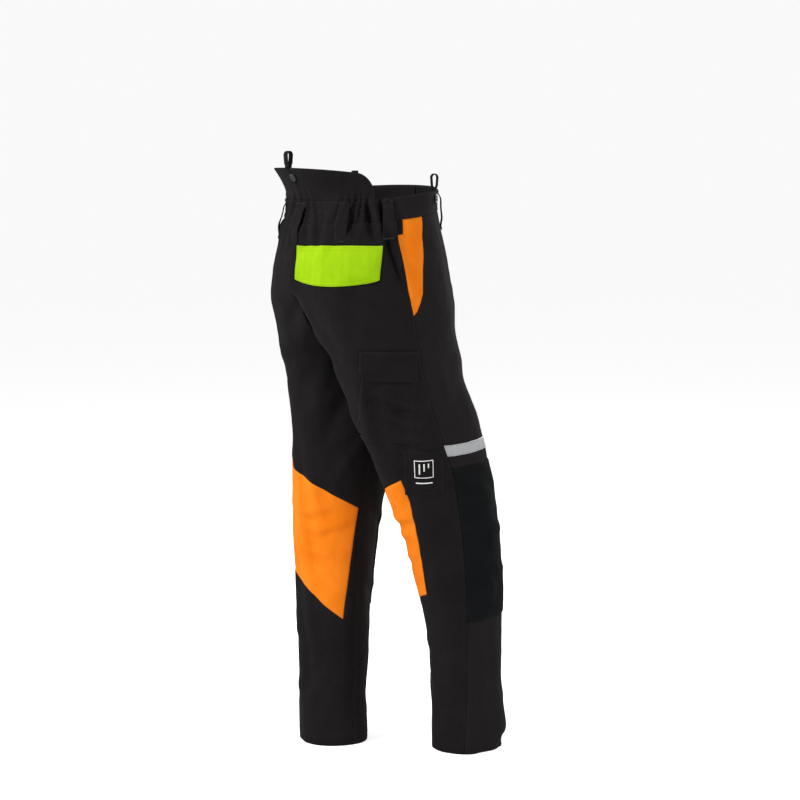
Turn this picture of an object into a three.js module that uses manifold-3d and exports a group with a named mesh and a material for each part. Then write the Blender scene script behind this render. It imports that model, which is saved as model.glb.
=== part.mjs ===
// Chainsaw protective trousers, standing in a short stride with the right leg forward.
//
// Frame: millimetres, +Z up, origin on the floor under the middle of the garment. The wearer
// faces -Y, so the wearer's right leg is at -X and the left leg at +X.
//
// The cloth is laid out on one loft. Each half of the garment is a stack of elliptical
// sections, and a place on it is (angle, height, layer): the angle is 0 at the outer side,
// +90 at the rear and -90 at the front, and the layer is the distance out from the shell's
// outer face. Every cloth piece is a stretch of that loft between two layers, so the shell,
// the protective pack and the lining lie parallel and never cut each other.
import * as THREE from 'three';
import { mergeVertices } from 'three/addons/utils/BufferGeometryUtils.js';
import Module from 'manifold-3d';

const wasm = await Module();
wasm.setup();

// Driving dimensions -------------------------------------------------------------------------

const GARMENT_CENTRE_Y = -38; // middle of the stride, measured from the pelvis axis
const GAP = 0.3; // between touching pieces
const SEAM_HALF_GAP = 0.15;

const WAIST = { seamHeight: 1027, bandHeight: 42, tiltBack: 0.118, tiltSide: 0.039 };
const HIGH_BACK = { height: 60, halfAngle: 58, flatAngle: 48, drop: 11, flare: 34 };
const ELASTIC_HALF_ANGLE = 75;

// Layers: distance out from the shell's outer face, inner face first
const SHELL = [-1.2, 0];
const UNDER_SHELL = [-2.7, -1.5];
const PACK = [-6.2, -1.5];
const LINING = [-7.3, -6.5];
const BAND_FACING = [-4.6, -3.6];
const BAG = [-5.8, -3.0];
const PATCH = [0.3, 1.5];
const KNEE_PATCH = [0.3, 3.0];
const TAPE = [0.3, 0.9];

// Sections of the garment, height in mm above the floor. cx and cy place the ellipse, a is
// its half width across the body, rear and front its half depths behind and before cy.
const HIP_SECTIONS = [
  { z: 735, cx: 97, cy: -24, a: 90, rear: 126, front: 122 },
  { z: 770, cx: 92.3, cy: -17, a: 92, rear: 133, front: 127 },
  { z: 790, cx: 88, cy: -12, a: 98, rear: 138, front: 132 },
  { z: 850, cx: 45, cy: -3, a: 138, rear: 152, front: 152 },
  { z: 905, cx: 14, cy: 0, a: 169, rear: 161, front: 154 },
  { z: WAIST.seamHeight - 52, cx: 0, cy: 2, a: 173, rear: 150, front: 144 },
  { z: WAIST.seamHeight + 18, cx: 0, cy: 0, a: 160, rear: 130, front: 130 },
  { z: WAIST.seamHeight + 103, cx: 0, cy: 0, a: 160, rear: 130, front: 130 },
];
const RIGHT_LEG_SECTIONS = [
  { z: -10, cx: 100, cy: -178, a: 69, rear: 69, front: 69 },
  { z: 90, cx: 100, cy: -176, a: 69, rear: 69, front: 69 },
  { z: 180, cx: 99, cy: -171, a: 71, rear: 71, front: 71 },
  { z: 270, cx: 99, cy: -164, a: 73, rear: 76, front: 76 },
  { z: 364, cx: 99, cy: -150, a: 77, rear: 88, front: 88 },
  { z: 457, cx: 99, cy: -128, a: 80, rear: 99, front: 99 },
  { z: 567, cx: 98, cy: -92, a: 84, rear: 116, front: 114 },
  { z: 665, cx: 97, cy: -50, a: 88, rear: 124, front: 126 },
];
const LEFT_LEG_SECTIONS = [
  { z: -10, cx: 100, cy: 2, a: 69, rear: 69, front: 69 },
  { z: 90, cx: 100, cy: 2, a: 69, rear: 69, front: 69 },
  { z: 180, cx: 99, cy: 1, a: 70, rear: 70, front: 70 },
  { z: 270, cx: 99, cy: 0, a: 73, rear: 71, front: 73 },
  { z: 364, cx: 99, cy: -2, a: 77, rear: 74, front: 78 },
  { z: 457, cx: 99, cy: -6, a: 80, rear: 84, front: 88 },
  { z: 567, cx: 98, cy: -17, a: 85, rear: 98, front: 102 },
  { z: 665, cx: 97, cy: -28, a: 89, rear: 112, front: 114 },
];

// Outer side seam: height, angle behind the outer side in degrees
const SIDE_SEAM = [
  [0, 42], [250, 30], [530, 9], [830, 5], [990, 13], [1130, 13],
];

// Rows of the cloth from hem to waist seam; rise lifts a row toward the front
const ROWS = [
  { z: 0, rise: 0 }, { z: 60, rise: 0 }, { z: 130, rise: 0 }, { z: 190, rise: 0 },
  { z: 255, rise: 0 }, { z: 330, rise: 0 }, { z: 405, rise: 0 }, { z: 480, rise: 5 },
  { z: 556, rise: 10 }, { z: 578, rise: 10 }, { z: 599, rise: 10 }, { z: 665, rise: 5 },
  { z: 730, rise: 0 }, { z: 770, rise: 0 }, { z: 795, rise: 0 }, { z: 850, rise: 0 },
  { z: 910, rise: 0 }, { z: WAIST.seamHeight - 57, rise: 0 },
];
const ROW = {
  hem: 0, packFoot: 1, patchFoot: 4, patchTop: 8, tapeFoot: 9, tapeTop: 10,
  hip: 15, packTop: 17, waist: ROWS.length,
};
const COLUMNS = 10; // stretches of cloth from the side seam to the centre seam or inseam
const FRONT_REACH = 7; // those that the knee patch and the tape cover

const HEM_FACING = { height: 25, inward: 1.5, steps: 20 };
const FLY = {
  top: WAIST.seamHeight + 15, foot: WAIST.seamHeight - 143,
  slot: 10, tapeHalfWidth: 16, tapeOut: -2.6, tapeThickness: 1.2, tapeClear: 9, chainHalfWidth: 1.9,
};
const ZIP_PULL = {
  sliderHeight: 13, axleOut: 3.6, axleRadius: 0.6, knuckleRadius: 1.4, knuckleHalf: 1.5,
  cheek: 1.2, tabHalf: 3.4, tabLength: 24,
};
const BELT_LOOP = { width: 21, thickness: 1.5, room: 7.5, above: 38, below: 36 };
const BELT_LOOP_BEARINGS = {
  centre_back: 0, back_right: -38, back_left: 38, side_right: -70, side_left: 70,
  front_right: -143, front_left: 143,
};
const BRACE_LOOP = { width: 12, thickness: 2.4, height: 30, depth: 14 };
const BRACE_BEARINGS = { back: 0, front_right: -124, front_left: 124 };
const BRACE_BUTTON = { radius: 8.5, height: 4.2, shank: 3, below: 16 };
const WAIST_BUTTON = { radius: 8.5, height: 3.6, shank: 2.5, across: 16 };

// Materials ------------------------------------------------------------------------------------

const cloth = (color, roughness = 0.9) => ({ color, roughness, metalness: 0 });
const CHARCOAL = cloth(0x363233);
const BLACK = cloth(0x262323);
const KNEE_BLACK = cloth(0x16181a, 0.95);
const ORANGE = cloth(0xf0822a);
const LIME = cloth(0xa0d81c);
const SILVER = { color: 0xaeb0b2, roughness: 0.45, metalness: 0.1 };
const PADDING = cloth(0xd8d4c8);
const MESH_LINING = cloth(0x3a3c40);
const WEBBING = cloth(0x1a1a1b, 0.8);
const HOOK_TAPE = cloth(0x202022, 0.7);
const STEEL = { color: 0x6d6f72, roughness: 0.35, metalness: 0.9 };
const DARK_METAL = { color: 0x2a2b2d, roughness: 0.4, metalness: 0.9 };

// Loft -----------------------------------------------------------------------------------------

const radians = THREE.MathUtils.degToRad;
const SIDES = { right: -1, left: 1 };
const SECTIONS = {
  right: [...RIGHT_LEG_SECTIONS, ...HIP_SECTIONS],
  left: [...LEFT_LEG_SECTIONS, ...HIP_SECTIONS],
};

/** Value of key at height z, by a cubic through the sections that never overshoots them. */
function sectionValue(sections, key, z) {
  const last = sections.length - 1;
  const found = sections.findIndex((section) => section.z > z);
  const upper = found < 0 ? last : Math.max(found, 1);
  const [p, q] = [sections[upper - 1], sections[upper]];
  const slope = (index) => {
    const here = sections[index];
    const [before, after] = [sections[Math.max(index - 1, 0)], sections[Math.min(index + 1, last)]];
    const turns = (after[key] - here[key]) * (here[key] - before[key]) <= 0;
    return turns ? 0 : (after[key] - before[key]) / (after.z - before.z);
  };
  const span = q.z - p.z;
  const t = THREE.MathUtils.clamp((z - p.z) / span, 0, 1);
  const [start, end] = [slope(upper - 1) * span, slope(upper) * span];
  const rise = t * t * (3 - 2 * t);
  const bend = t * (1 - t) * ((1 - t) * start - t * end);
  return p[key] + (q[key] - p[key]) * rise + bend;
}

/** The whole section at height z. */
function sectionAt(side, z) {
  const section = {};
  for (const key of ['cx', 'cy', 'a', 'rear', 'front']) {
    section[key] = sectionValue(SECTIONS[side], key, z);
  }
  return section;
}

/** Straight line through pairs of [position, value]. */
function linear(pairs, position) {
  const found = pairs.findIndex(([at]) => at > position);
  const upper = found < 0 ? pairs.length - 1 : Math.max(found, 1);
  const [[at, from], [end, to]] = [pairs[upper - 1], pairs[upper]];
  return from + (to - from) * THREE.MathUtils.clamp((position - at) / (end - at), 0, 1);
}

/** Point of the loft at an angle in radians, a height and a layer. */
function bodyPoint(side, angle, z, layer) {
  const { cx, cy, a, rear, front } = sectionAt(side, z);
  const depth = (Math.sin(angle) > 0 ? rear : front) + layer;
  const x = SIDES[side] * (cx + (a + layer) * Math.cos(angle));
  return new THREE.Vector3(x, cy + depth * Math.sin(angle), z);
}

/** Angle at which a layer meets the centre plane, or the inseam below the crotch. */
function innerAngle(side, z, layer) {
  const { cx, a } = sectionAt(side, z);
  const inseam = Math.PI - SEAM_HALF_GAP / a;
  const cosine = (SEAM_HALF_GAP - cx) / (a + layer);
  return cosine > -1 ? Math.min(inseam, Math.acos(cosine)) : inseam;
}

/** Height of the waist seam in the direction of an angle: it rises to the front and the left. */
function waistSeam(side, angle) {
  const { a, rear, front } = sectionAt(side, WAIST.seamHeight);
  const x = SIDES[side] * a * Math.cos(angle);
  const y = (Math.sin(angle) > 0 ? rear : front) * Math.sin(angle);
  return WAIST.seamHeight - WAIST.tiltBack * y + WAIST.tiltSide * x;
}

/** Point of the ring around the waist, by bearing: 0 at the rear, 90 at the wearer's left. */
function waistPoint(bearing, rise, layer) {
  const side = bearing > 0 && bearing < 180 ? 'left' : 'right';
  const angle = Math.PI / 2 - SIDES[side] * radians(bearing);
  const above = Math.max(0, rise - WAIST.bandHeight) / HIGH_BACK.height;
  const out = layer + HIGH_BACK.flare * above ** 1.5 * Math.max(0, Math.sin(angle));
  return bodyPoint(side, angle, waistSeam(side, angle) + rise, out);
}

/** Bearing to travel in, as a unit vector pointing out of the waist. */
function waistNormal(bearing) {
  const { a, rear } = sectionAt('left', WAIST.seamHeight + WAIST.bandHeight);
  const turn = radians(bearing);
  return new THREE.Vector3(Math.sin(turn) / a, Math.cos(turn) / rear, 0).normalize();
}

// Solids ---------------------------------------------------------------------------------------

/** Closed geometry from points and triangles, turned so that its faces point out. */
function closedGeometry(points, triangles) {
  let volume = 0;
  for (const [i, j, k] of triangles) {
    volume += points[i].dot(points[j].clone().cross(points[k]));
  }
  const facing = volume > 0 ? triangles : triangles.map(([i, j, k]) => [i, k, j]);
  const geometry = new THREE.BufferGeometry().setFromPoints(points);
  geometry.setIndex(facing.flat());
  return geometry;
}

/** Slab of cloth: place(column, row, layer) over whole columns and rows, between two layers. */
function slab(place, columns, rows, layers) {
  const points = [];
  const triangles = [];
  const wide = columns + 1;
  const index = (face, row, column) => (face * (rows + 1) + row) * wide + column;
  for (const layer of layers) {
    for (let row = 0; row <= rows; row += 1) {
      for (let column = 0; column <= columns; column += 1) {
        points.push(place(column, row, layer));
      }
    }
  }
  const quad = (a, b, c, d) => triangles.push([a, b, c], [a, c, d]);
  for (let row = 0; row < rows; row += 1) {
    for (let column = 0; column < columns; column += 1) {
      const corners = [[row, column], [row, column + 1], [row + 1, column + 1], [row + 1, column]];
      const [a, b, c, d] = corners.map(([r, k]) => index(1, r, k));
      quad(a, b, c, d);
      const [e, f, g, h] = corners.map(([r, k]) => index(0, r, k));
      quad(e, h, g, f);
    }
  }
  for (let column = 0; column < columns; column += 1) {
    quad(index(0, 0, column), index(0, 0, column + 1), index(1, 0, column + 1), index(1, 0, column));
    quad(index(1, rows, column), index(1, rows, column + 1), index(0, rows, column + 1),
      index(0, rows, column));
  }
  for (let row = 0; row < rows; row += 1) {
    quad(index(0, row + 1, 0), index(0, row, 0), index(1, row, 0), index(1, row + 1, 0));
    quad(index(1, row + 1, columns), index(1, row, columns), index(0, row, columns),
      index(0, row + 1, columns));
  }
  return closedGeometry(points, triangles);
}

/** Height of a row of the cloth at an angle. */
function rowHeight(side, row, angle) {
  if (row < ROWS.length) {
    return ROWS[row].z + ROWS[row].rise * Math.max(0, -Math.sin(angle));
  }
  return waistSeam(side, angle) - GAP;
}

/**
 * Stretch of the loft from the side seam round the front or the back. Columns and rows are
 * counted from the side seam and from the hem, so pieces that share them lie parallel.
 */
function panel(side, zone, layers, { columns = [0, COLUMNS], rows = [0, ROW.waist] } = {}) {
  const turn = zone === 'front' ? -1 : 1;
  const place = (column, row, layer) => {
    const share = (columns[0] + column) / COLUMNS;
    let angle = turn * share * Math.PI;
    let z = 0;
    for (let pass = 0; pass < 4; pass += 1) {
      z = rowHeight(side, rows[0] + row, angle);
      const seam = radians(linear(SIDE_SEAM, z)) + turn * (SEAM_HALF_GAP / sectionAt(side, z).a);
      angle = seam + (turn * innerAngle(side, z, layer) - seam) * share;
    }
    return bodyPoint(side, angle, z, layer);
  };
  return slab(place, columns[1] - columns[0], rows[1] - rows[0], layers);
}

/** Stretch of the ring around the waist, between two bearings and up to a height of its own. */
function waistRing(from, to, steps, layers, foot, top) {
  const place = (column, row, layer) => {
    const bearing = from + ((to - from) * column) / steps;
    return waistPoint(bearing, row === 0 ? foot : foot + (top(bearing) - foot) * row / top.rows, layer);
  };
  return slab(place, steps, top.rows, layers);
}

const bandTop = Object.assign(() => WAIST.bandHeight, { rows: 1 });

/** Solid for cutting and joining, from any closed geometry. */
function solid(geometry) {
  const plain = geometry.clone();
  plain.deleteAttribute('normal');
  plain.deleteAttribute('uv');
  const merged = mergeVertices(plain, 1e-4);
  const triVerts = new Uint32Array(merged.index.array);
  return new wasm.Manifold(new wasm.Mesh({
    numProp: 3, vertProperties: new Float32Array(merged.attributes.position.array), triVerts,
  }));
}

/** Geometry of a solid. */
function geometryOf(shape) {
  const { vertProperties, triVerts } = shape.getMesh();
  const geometry = new THREE.BufferGeometry();
  geometry.setAttribute('position', new THREE.BufferAttribute(vertProperties, 3));
  geometry.setIndex(new THREE.BufferAttribute(triVerts, 1));
  return geometry;
}

const without = (geometry, ...tools) =>
  geometryOf(tools.reduce((shape, tool) => shape.subtract(solid(tool)), solid(geometry)));
const within = (geometry, tool) => geometryOf(solid(geometry).intersect(solid(tool)));
const joined = (...geometries) =>
  geometryOf(geometries.map(solid).reduce((shape, next) => shape.add(next)));

/** Box between two corners. */
function box([x0, y0, z0], [x1, y1, z1]) {
  const geometry = new THREE.BoxGeometry(x1 - x0, y1 - y0, z1 - z0);
  return geometry.translate((x0 + x1) / 2, (y0 + y1) / 2, (z0 + z1) / 2);
}

/**
 * Prism that cuts a piece out of the cloth. The outline is drawn as seen from outside, across
 * then up from the centre, and the prism runs inward along the bearing.
 */
function punch(outline, centre, bearing, reach = 90) {
  const shape = new THREE.Shape(outline.map(([across, up]) => new THREE.Vector2(across, up)));
  const geometry = new THREE.ExtrudeGeometry(shape, { depth: reach, bevelEnabled: false });
  geometry.translate(0, 0, -reach / 2);
  geometry.rotateX(Math.PI / 2);
  geometry.rotateZ(Math.PI - radians(bearing));
  return geometry.translate(...centre);
}

/** The outline moved outward by a distance, for a clearance. */
function grown(outline, distance) {
  const corner = (index) => new THREE.Vector2(...outline.at(index % outline.length));
  return outline.map((_, index) => {
    const [before, here, after] = [corner(index - 1), corner(index), corner(index + 1)];
    const arriving = here.clone().sub(before).normalize();
    const leaving = after.clone().sub(here).normalize();
    const out = new THREE.Vector2(arriving.y + leaving.y, -arriving.x - leaving.x);
    const stretch = distance / (0.5 * out.lengthSq() || 1);
    return [here.x + out.x * stretch, here.y + out.y * stretch];
  });
}

/** Rectangle with its lower edge bowed down and its lower corners cut, counter-clockwise. */
function flapOutline(width, height, { bow = 0, cutLeft = 0, cutRight = 0 }) {
  const [left, right, foot] = [-width / 2, width / 2, -height];
  const lower = [];
  if (cutLeft) lower.push([left, foot + cutLeft]);
  const steps = bow ? 6 : 1;
  for (let step = 0; step <= steps; step += 1) {
    const share = step / steps;
    const x = THREE.MathUtils.lerp(left + cutLeft, right - cutRight, share);
    lower.push([x, foot - bow * 4 * share * (1 - share)]);
  }
  if (cutRight) lower.push([right, foot + cutRight]);
  return [[left, 0], ...lower, [right, 0]];
}

// Garment --------------------------------------------------------------------------------------

const garment = new THREE.Group();
garment.position.y = -GARMENT_CENTRE_Y;

function add(name, geometry, material, parent = garment) {
  const mesh = new THREE.Mesh(geometry, new THREE.MeshStandardMaterial(material));
  mesh.name = name;
  parent.add(mesh);
  return mesh;
}

/** Line of the fly: the shell's centre front runs straight from waist seam to fly foot. */
function flyPoint(z) {
  const top = bodyPoint('left', -Math.PI / 2, FLY.top, 0).y;
  const foot = bodyPoint('left', -Math.PI / 2, FLY.foot, 0).y;
  return THREE.MathUtils.mapLinear(z, FLY.foot, FLY.top, foot, top);
}

const FLY_TILT = Math.atan2(flyPoint(FLY.top) - flyPoint(FLY.foot), FLY.top - FLY.foot);

/** Box on the fly's line: across, outward from the line, and along it from a height. */
function flyBox([across0, out0], [across1, out1], foot, length) {
  const geometry = box([across0, -out1, 0], [across1, -out0, length]);
  geometry.rotateX(-FLY_TILT);
  return geometry.translate(0, flyPoint(foot), foot);
}

// Side pocket mouth on the outer side, drawn as forward of the pelvis axis and up
const POCKET_FOOT = 845;
const POCKET_MOUTH = [
  [-13, POCKET_FOOT], [-6, POCKET_FOOT + 4], [12, 883], [22, 950],
  [27, WAIST.seamHeight + 33], [-60, WAIST.seamHeight + 33],
];
const POCKET_FACING = [
  [-13, POCKET_FOOT - 14], [4, POCKET_FOOT - 8], [26, 883], [36, 950],
  [41, WAIST.seamHeight + 33], [-60, WAIST.seamHeight + 33],
];
const POCKET_BAG = [
  [-45, 812], [-30, 800], [70, 800], [100, 830], [96, 1015], [-40, 1010],
];

/** Prism through the outer side of one half, from an outline drawn forward and up. */
function sidePunch(side, outline) {
  const handed = side === 'right' ? outline : outline.map(([y, z]) => [-y, z]).reverse();
  return punch(handed, [SIDES[side] * 170, 0, 0], SIDES[side] * 90, 220);
}

// Calf insert: its edges in degrees behind the outer side and heights
const CALF_OUTER_EDGE = { right: [[308, 82], [493, 68]], left: [[341, 52], [558, 50]] };
const CALF_INNER_EDGE = [[249, 160], [465, 178]];
const CALF_FOOT_EDGE = {
  right: [[78, 311], [100, 302], [125, 281], [160, 249], [183, 249]],
  left: [[50, 345], [100, 308], [126, 278], [160, 249], [183, 249]],
};
const CALF_TOP_EDGE = {
  right: [[50, 545], [125, 504], [178, 465]], left: [[50, 562], [178, 465]],
};

/** Cutter for the calf insert of one leg, reaching the inseam, shrunk by a clearance. */
function calfCutter(side, clearance) {
  const steps = 8;
  const degrees = THREE.MathUtils.radToDeg;
  const place = (column, row, layer) => {
    let angle = 110;
    let z = 0;
    for (let pass = 0; pass < 8; pass += 1) {
      const foot = linear(CALF_FOOT_EDGE[side], angle) + clearance;
      const top = linear(CALF_TOP_EDGE[side], angle) - clearance;
      z = THREE.MathUtils.lerp(foot, top, row / steps);
      const inset = degrees(clearance / sectionAt(side, z).a);
      const outer = linear(CALF_OUTER_EDGE[side], z) + inset;
      angle = THREE.MathUtils.lerp(outer, linear(CALF_INNER_EDGE, z) - inset, column / steps);
    }
    return bodyPoint(side, radians(angle), z, layer);
  };
  return slab(place, steps, steps, [-12, 12]);
}

/** Slice of everything up to the top of the hem facing. */
const hemBand = box([-300, -400, -10], [300, 200, HEM_FACING.height + GAP]);

/** Everything that both halves have: shell, protection, lining, knee and pocket pieces. */
function addHalf(side) {
  const named = (piece) => `${piece}_${side}`;
  const flyZone = box([-FLY.tapeHalfWidth - 14, -220, FLY.foot - 12], [FLY.tapeHalfWidth + 14, 0, 1100]);
  const flySlot = flyBox([-FLY.slot / 2, -12], [FLY.slot / 2, 12], FLY.foot, 200);
  const mouth = sidePunch(side, POCKET_MOUTH);
  const facingPunch = sidePunch(side, POCKET_FACING);
  const bagPunch = sidePunch(side, POCKET_BAG);

  add(named('front_panel'), without(panel(side, 'front', SHELL), mouth, flySlot), CHARCOAL);
  const back = panel(side, 'back', SHELL);
  const backCuts = [calfCutter(side, 0)];
  if (side === 'right') backCuts.push(backPocketSlit());
  add(named('back_panel'), without(back, ...backCuts), BLACK);
  add(named('calf_insert'), within(back, calfCutter(side, 2 * GAP)), ORANGE);

  const roomForPocket = sidePunch(side, grown(POCKET_BAG, GAP));
  const roomForFacing = sidePunch(side, grown(POCKET_FACING, GAP));
  const pack = panel(side, 'front', PACK, { columns: [0, COLUMNS - 1], rows: [ROW.packFoot, ROW.packTop] });
  add(named('cut_protection_pack'), without(pack, roomForPocket, roomForFacing, flyZone), PADDING);
  const lining = panel(side, 'front', LINING, { rows: [ROW.hem, ROW.packTop] });
  add(named('lining_front'), without(lining, flyZone, hemBand), MESH_LINING);
  const facing = panel(side, 'front', UNDER_SHELL, { rows: [ROW.hip - 2, ROW.waist] });
  add(named('side_pocket_facing'), within(facing, facingPunch), ORANGE);
  const bag = panel(side, 'front', BAG, { rows: [ROW.hip - 2, ROW.waist] });
  add(named('side_pocket_bag'), within(bag, bagPunch), MESH_LINING);

  const knee = { columns: [0, FRONT_REACH], rows: [ROW.patchFoot, ROW.patchTop] };
  add(named('knee_patch'), panel(side, 'front', KNEE_PATCH, knee), KNEE_BLACK);
  const tape = { columns: [0, FRONT_REACH], rows: [ROW.tapeFoot, ROW.tapeTop] };
  add(named('reflective_tape'), panel(side, 'front', TAPE, tape), SILVER);
  addHemFacing(side);
}

/** Turned-up hem inside one leg: a closed ring under the shell. */
function addHemFacing(side) {
  const { steps } = HEM_FACING;
  const heights = [0, HEM_FACING.height];
  const points = [];
  const triangles = [];
  const corners = [[0, UNDER_SHELL[1]], [1, UNDER_SHELL[1]], [1, UNDER_SHELL[0]], [0, UNDER_SHELL[0]]];
  for (let step = 0; step < steps; step += 1) {
    const angle = (2 * Math.PI * step) / steps;
    for (const [level, layer] of corners) {
      points.push(bodyPoint(side, angle, heights[level], layer - HEM_FACING.inward));
    }
    for (let corner = 0; corner < corners.length; corner += 1) {
      const next = (corner + 1) % corners.length;
      const [here, there] = [step * 4, ((step + 1) % steps) * 4];
      triangles.push([here + corner, there + corner, there + next]);
      triangles.push([here + corner, there + next, here + next]);
    }
  }
  add(`hem_facing_${side}`, closedGeometry(points, triangles), BLACK);
}

// Back pocket, right: a slit in the back panel, a bag behind it and a flap over it ------------

const BACK_POCKET = {
  bearing: -29, across: -80, out: 108, top: WAIST.seamHeight - 57, width: 180, height: 64, bow: 10,
};
const BACK_POCKET_SLIT = { width: 150, height: 3, below: 14 };

/** Prism from an outline on the back pocket, across and up from the middle of its top edge. */
function backPocketPunch(outline) {
  return punch(outline, [BACK_POCKET.across, BACK_POCKET.out, BACK_POCKET.top], BACK_POCKET.bearing);
}

function centredBox(width, height, below) {
  return [[-width / 2, -below - height], [width / 2, -below - height], [width / 2, -below],
    [-width / 2, -below]];
}

function backPocketSlit() {
  const { width, height, below } = BACK_POCKET_SLIT;
  return backPocketPunch(centredBox(width, height, below));
}

function addBackPocket() {
  const rows = [ROW.hip - 2, ROW.waist];
  const layer = (layers) => panel('right', 'back', layers, { rows });
  const bag = centredBox(BACK_POCKET.width - 8, 165, 2);
  add('back_pocket_bag', within(layer(UNDER_SHELL), backPocketPunch(bag)), MESH_LINING);
  const strip = backPocketPunch(centredBox(110, 20, 30));
  add('back_flap_loop_tape', within(layer([0.3, 1.1]), strip), HOOK_TAPE);
  add('back_flap_hook_tape', within(layer([1.4, 2.2]), strip), HOOK_TAPE);
  const flap = flapOutline(BACK_POCKET.width, BACK_POCKET.height, { bow: BACK_POCKET.bow });
  add('back_pocket_flap', within(layer([2.5, 3.9]), backPocketPunch(flap)), LIME);
}

// Thigh pocket, right: a patch pocket on the outer thigh with its own flap --------------------

const THIGH_POCKET = { bearing: -60, across: -159, out: 50, top: 778, width: 104, height: 56, depth: 172 };

function thighPocketPunch(outline) {
  return punch(outline, [THIGH_POCKET.across, THIGH_POCKET.out, THIGH_POCKET.top], THIGH_POCKET.bearing);
}

function addThighPocket() {
  const rows = [ROW.patchTop, ROW.hip];
  const layer = (layers) => panel('right', 'back', layers, { rows });
  const { width, height, depth } = THIGH_POCKET;
  const body = flapOutline(width - 6, depth, { cutLeft: 14, cutRight: 14 });
  add('thigh_pocket_body', within(layer(PATCH), thighPocketPunch(body)), BLACK);
  const strip = thighPocketPunch(centredBox(60, 20, 26));
  add('thigh_flap_loop_tape', within(layer([1.8, 2.6]), strip), HOOK_TAPE);
  add('thigh_flap_hook_tape', within(layer([2.9, 3.7]), strip), HOOK_TAPE);
  const flap = flapOutline(width, height, { cutLeft: 18 });
  add('thigh_pocket_flap', within(layer([4.0, 5.2]), thighPocketPunch(flap)), BLACK);
}

// Woven patch above the right calf insert
const LABEL = { bearing: -46, centre: [-146, -44, 549], width: 72, height: 84 };

function addLabelPatch() {
  const rows = [ROW.patchTop - 2, ROW.tapeTop + 1];
  const { width, height, centre, bearing } = LABEL;
  const outline = centredBox(width, height, -height / 2);
  const cutter = punch(outline, centre, bearing);
  add('label_patch', within(panel('right', 'back', PATCH, { rows }), cutter), BLACK);
}

// Waist ----------------------------------------------------------------------------------------

/** Height of the high back above the waist seam at a bearing. */
const highBackTop = Object.assign((bearing) => {
  const { height, halfAngle, flatAngle, drop } = HIGH_BACK;
  const level = height - drop * (bearing / flatAngle) ** 2;
  const beyond = Math.max(0, Math.abs(bearing) - flatAngle) / (halfAngle - flatAngle);
  return WAIST.bandHeight + 3 + (level - 3) * Math.sqrt(Math.max(0, 1 - beyond ** 2));
}, { rows: 3 });

function addWaist() {
  const seam = 0.12; // half the bearing between two pieces of the band
  const side = ELASTIC_HALF_ANGLE;
  add('waistband_back', waistRing(-side + seam, side - seam, 20, SHELL, GAP, bandTop), BLACK);
  const rightBand = waistRing(-180 + seam, -side - seam, 14, SHELL, GAP, bandTop);
  add('waistband_front_right', rightBand, CHARCOAL);
  const leftBand = waistRing(side + seam, 180 - seam, 14, SHELL, GAP, bandTop);
  add('waistband_front_left', without(leftBand, waistButtonhole()), CHARCOAL);
  add('waist_elastic', waistRing(-side + 1, side - 1, 20, UNDER_SHELL, 4, bandTop), WEBBING);
  const underlap = waistRing(168, 192, 6, UNDER_SHELL, 2, bandTop);
  add('waistband_underlap', without(underlap, waistButtonBore()), CHARCOAL);
  add('waistband_facing', waistRing(-179, 179, 48, BAND_FACING, 1, bandTop), MESH_LINING);
  const foot = WAIST.bandHeight + GAP;
  const { halfAngle } = HIGH_BACK;
  add('high_back_panel', waistRing(-halfAngle, halfAngle, 16, [-1.8, 0], foot, highBackTop), BLACK);
}

/** Frame standing on the waist at a bearing: x along the waist, y outward, z up. */
function waistFrame(bearing, rise) {
  const frame = new THREE.Group();
  const normal = waistNormal(bearing);
  frame.position.copy(waistPoint(bearing, rise, 0));
  frame.rotation.z = Math.atan2(-normal.x, normal.y);
  garment.add(frame);
  return frame;
}

/** Strap bent along an outline drawn outward and up, then widened along the waist. */
function strap(outline, width, opening = null) {
  const shape = new THREE.Shape(outline.map(([out, up]) => new THREE.Vector2(out, up)));
  if (opening) shape.holes.push(new THREE.Path(opening.map(([out, up]) => new THREE.Vector2(out, up))));
  const geometry = new THREE.ExtrudeGeometry(shape, { depth: width, bevelEnabled: false });
  geometry.translate(0, 0, -width / 2);
  geometry.rotateX(Math.PI / 2);
  return geometry.rotateZ(Math.PI / 2);
}

/** How far the cloth swells out of the waist ring, some way below the waist seam. */
function swell(bearing, drop) {
  const turn = radians(bearing);
  const outline = (z) => {
    const { cy, a, rear, front } = sectionAt('left', z);
    const depth = Math.cos(turn) > 0 ? rear : front;
    return new THREE.Vector2(a * Math.sin(turn), cy + depth * Math.cos(turn));
  };
  const ring = waistPoint(bearing, 0, 0);
  const { x, y } = waistNormal(bearing);
  return outline(ring.z - drop).sub(new THREE.Vector2(ring.x, ring.y)).dot(new THREE.Vector2(x, y));
}

/** Belt loops: tacked to the band above and to the body below, bowed clear of both between. */
function addBeltLoops() {
  const { width, thickness, room, above, below } = BELT_LOOP;
  for (const [place, bearing] of Object.entries(BELT_LOOP_BEARINGS)) {
    const foot = swell(bearing, below);
    const taper = swell(bearing, -WAIST.bandHeight) / WAIST.bandHeight;
    const head = above - 6;
    const line = (out) => [
      [foot + out, -below], [foot + out + 0.6, -below + 7],
      [Math.max(foot, room) + out, -below + 15], [room + out, -4], [room + out, above - 16],
      [out + 0.6 * room, head - 5], [taper * head + out + GAP, head], [taper * above + out, above],
    ];
    const outline = [...line(thickness + GAP), ...line(GAP).reverse()];
    add(`belt_loop_${place}`, strap(outline, width), CHARCOAL, waistFrame(bearing, 0));
  }
}

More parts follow.
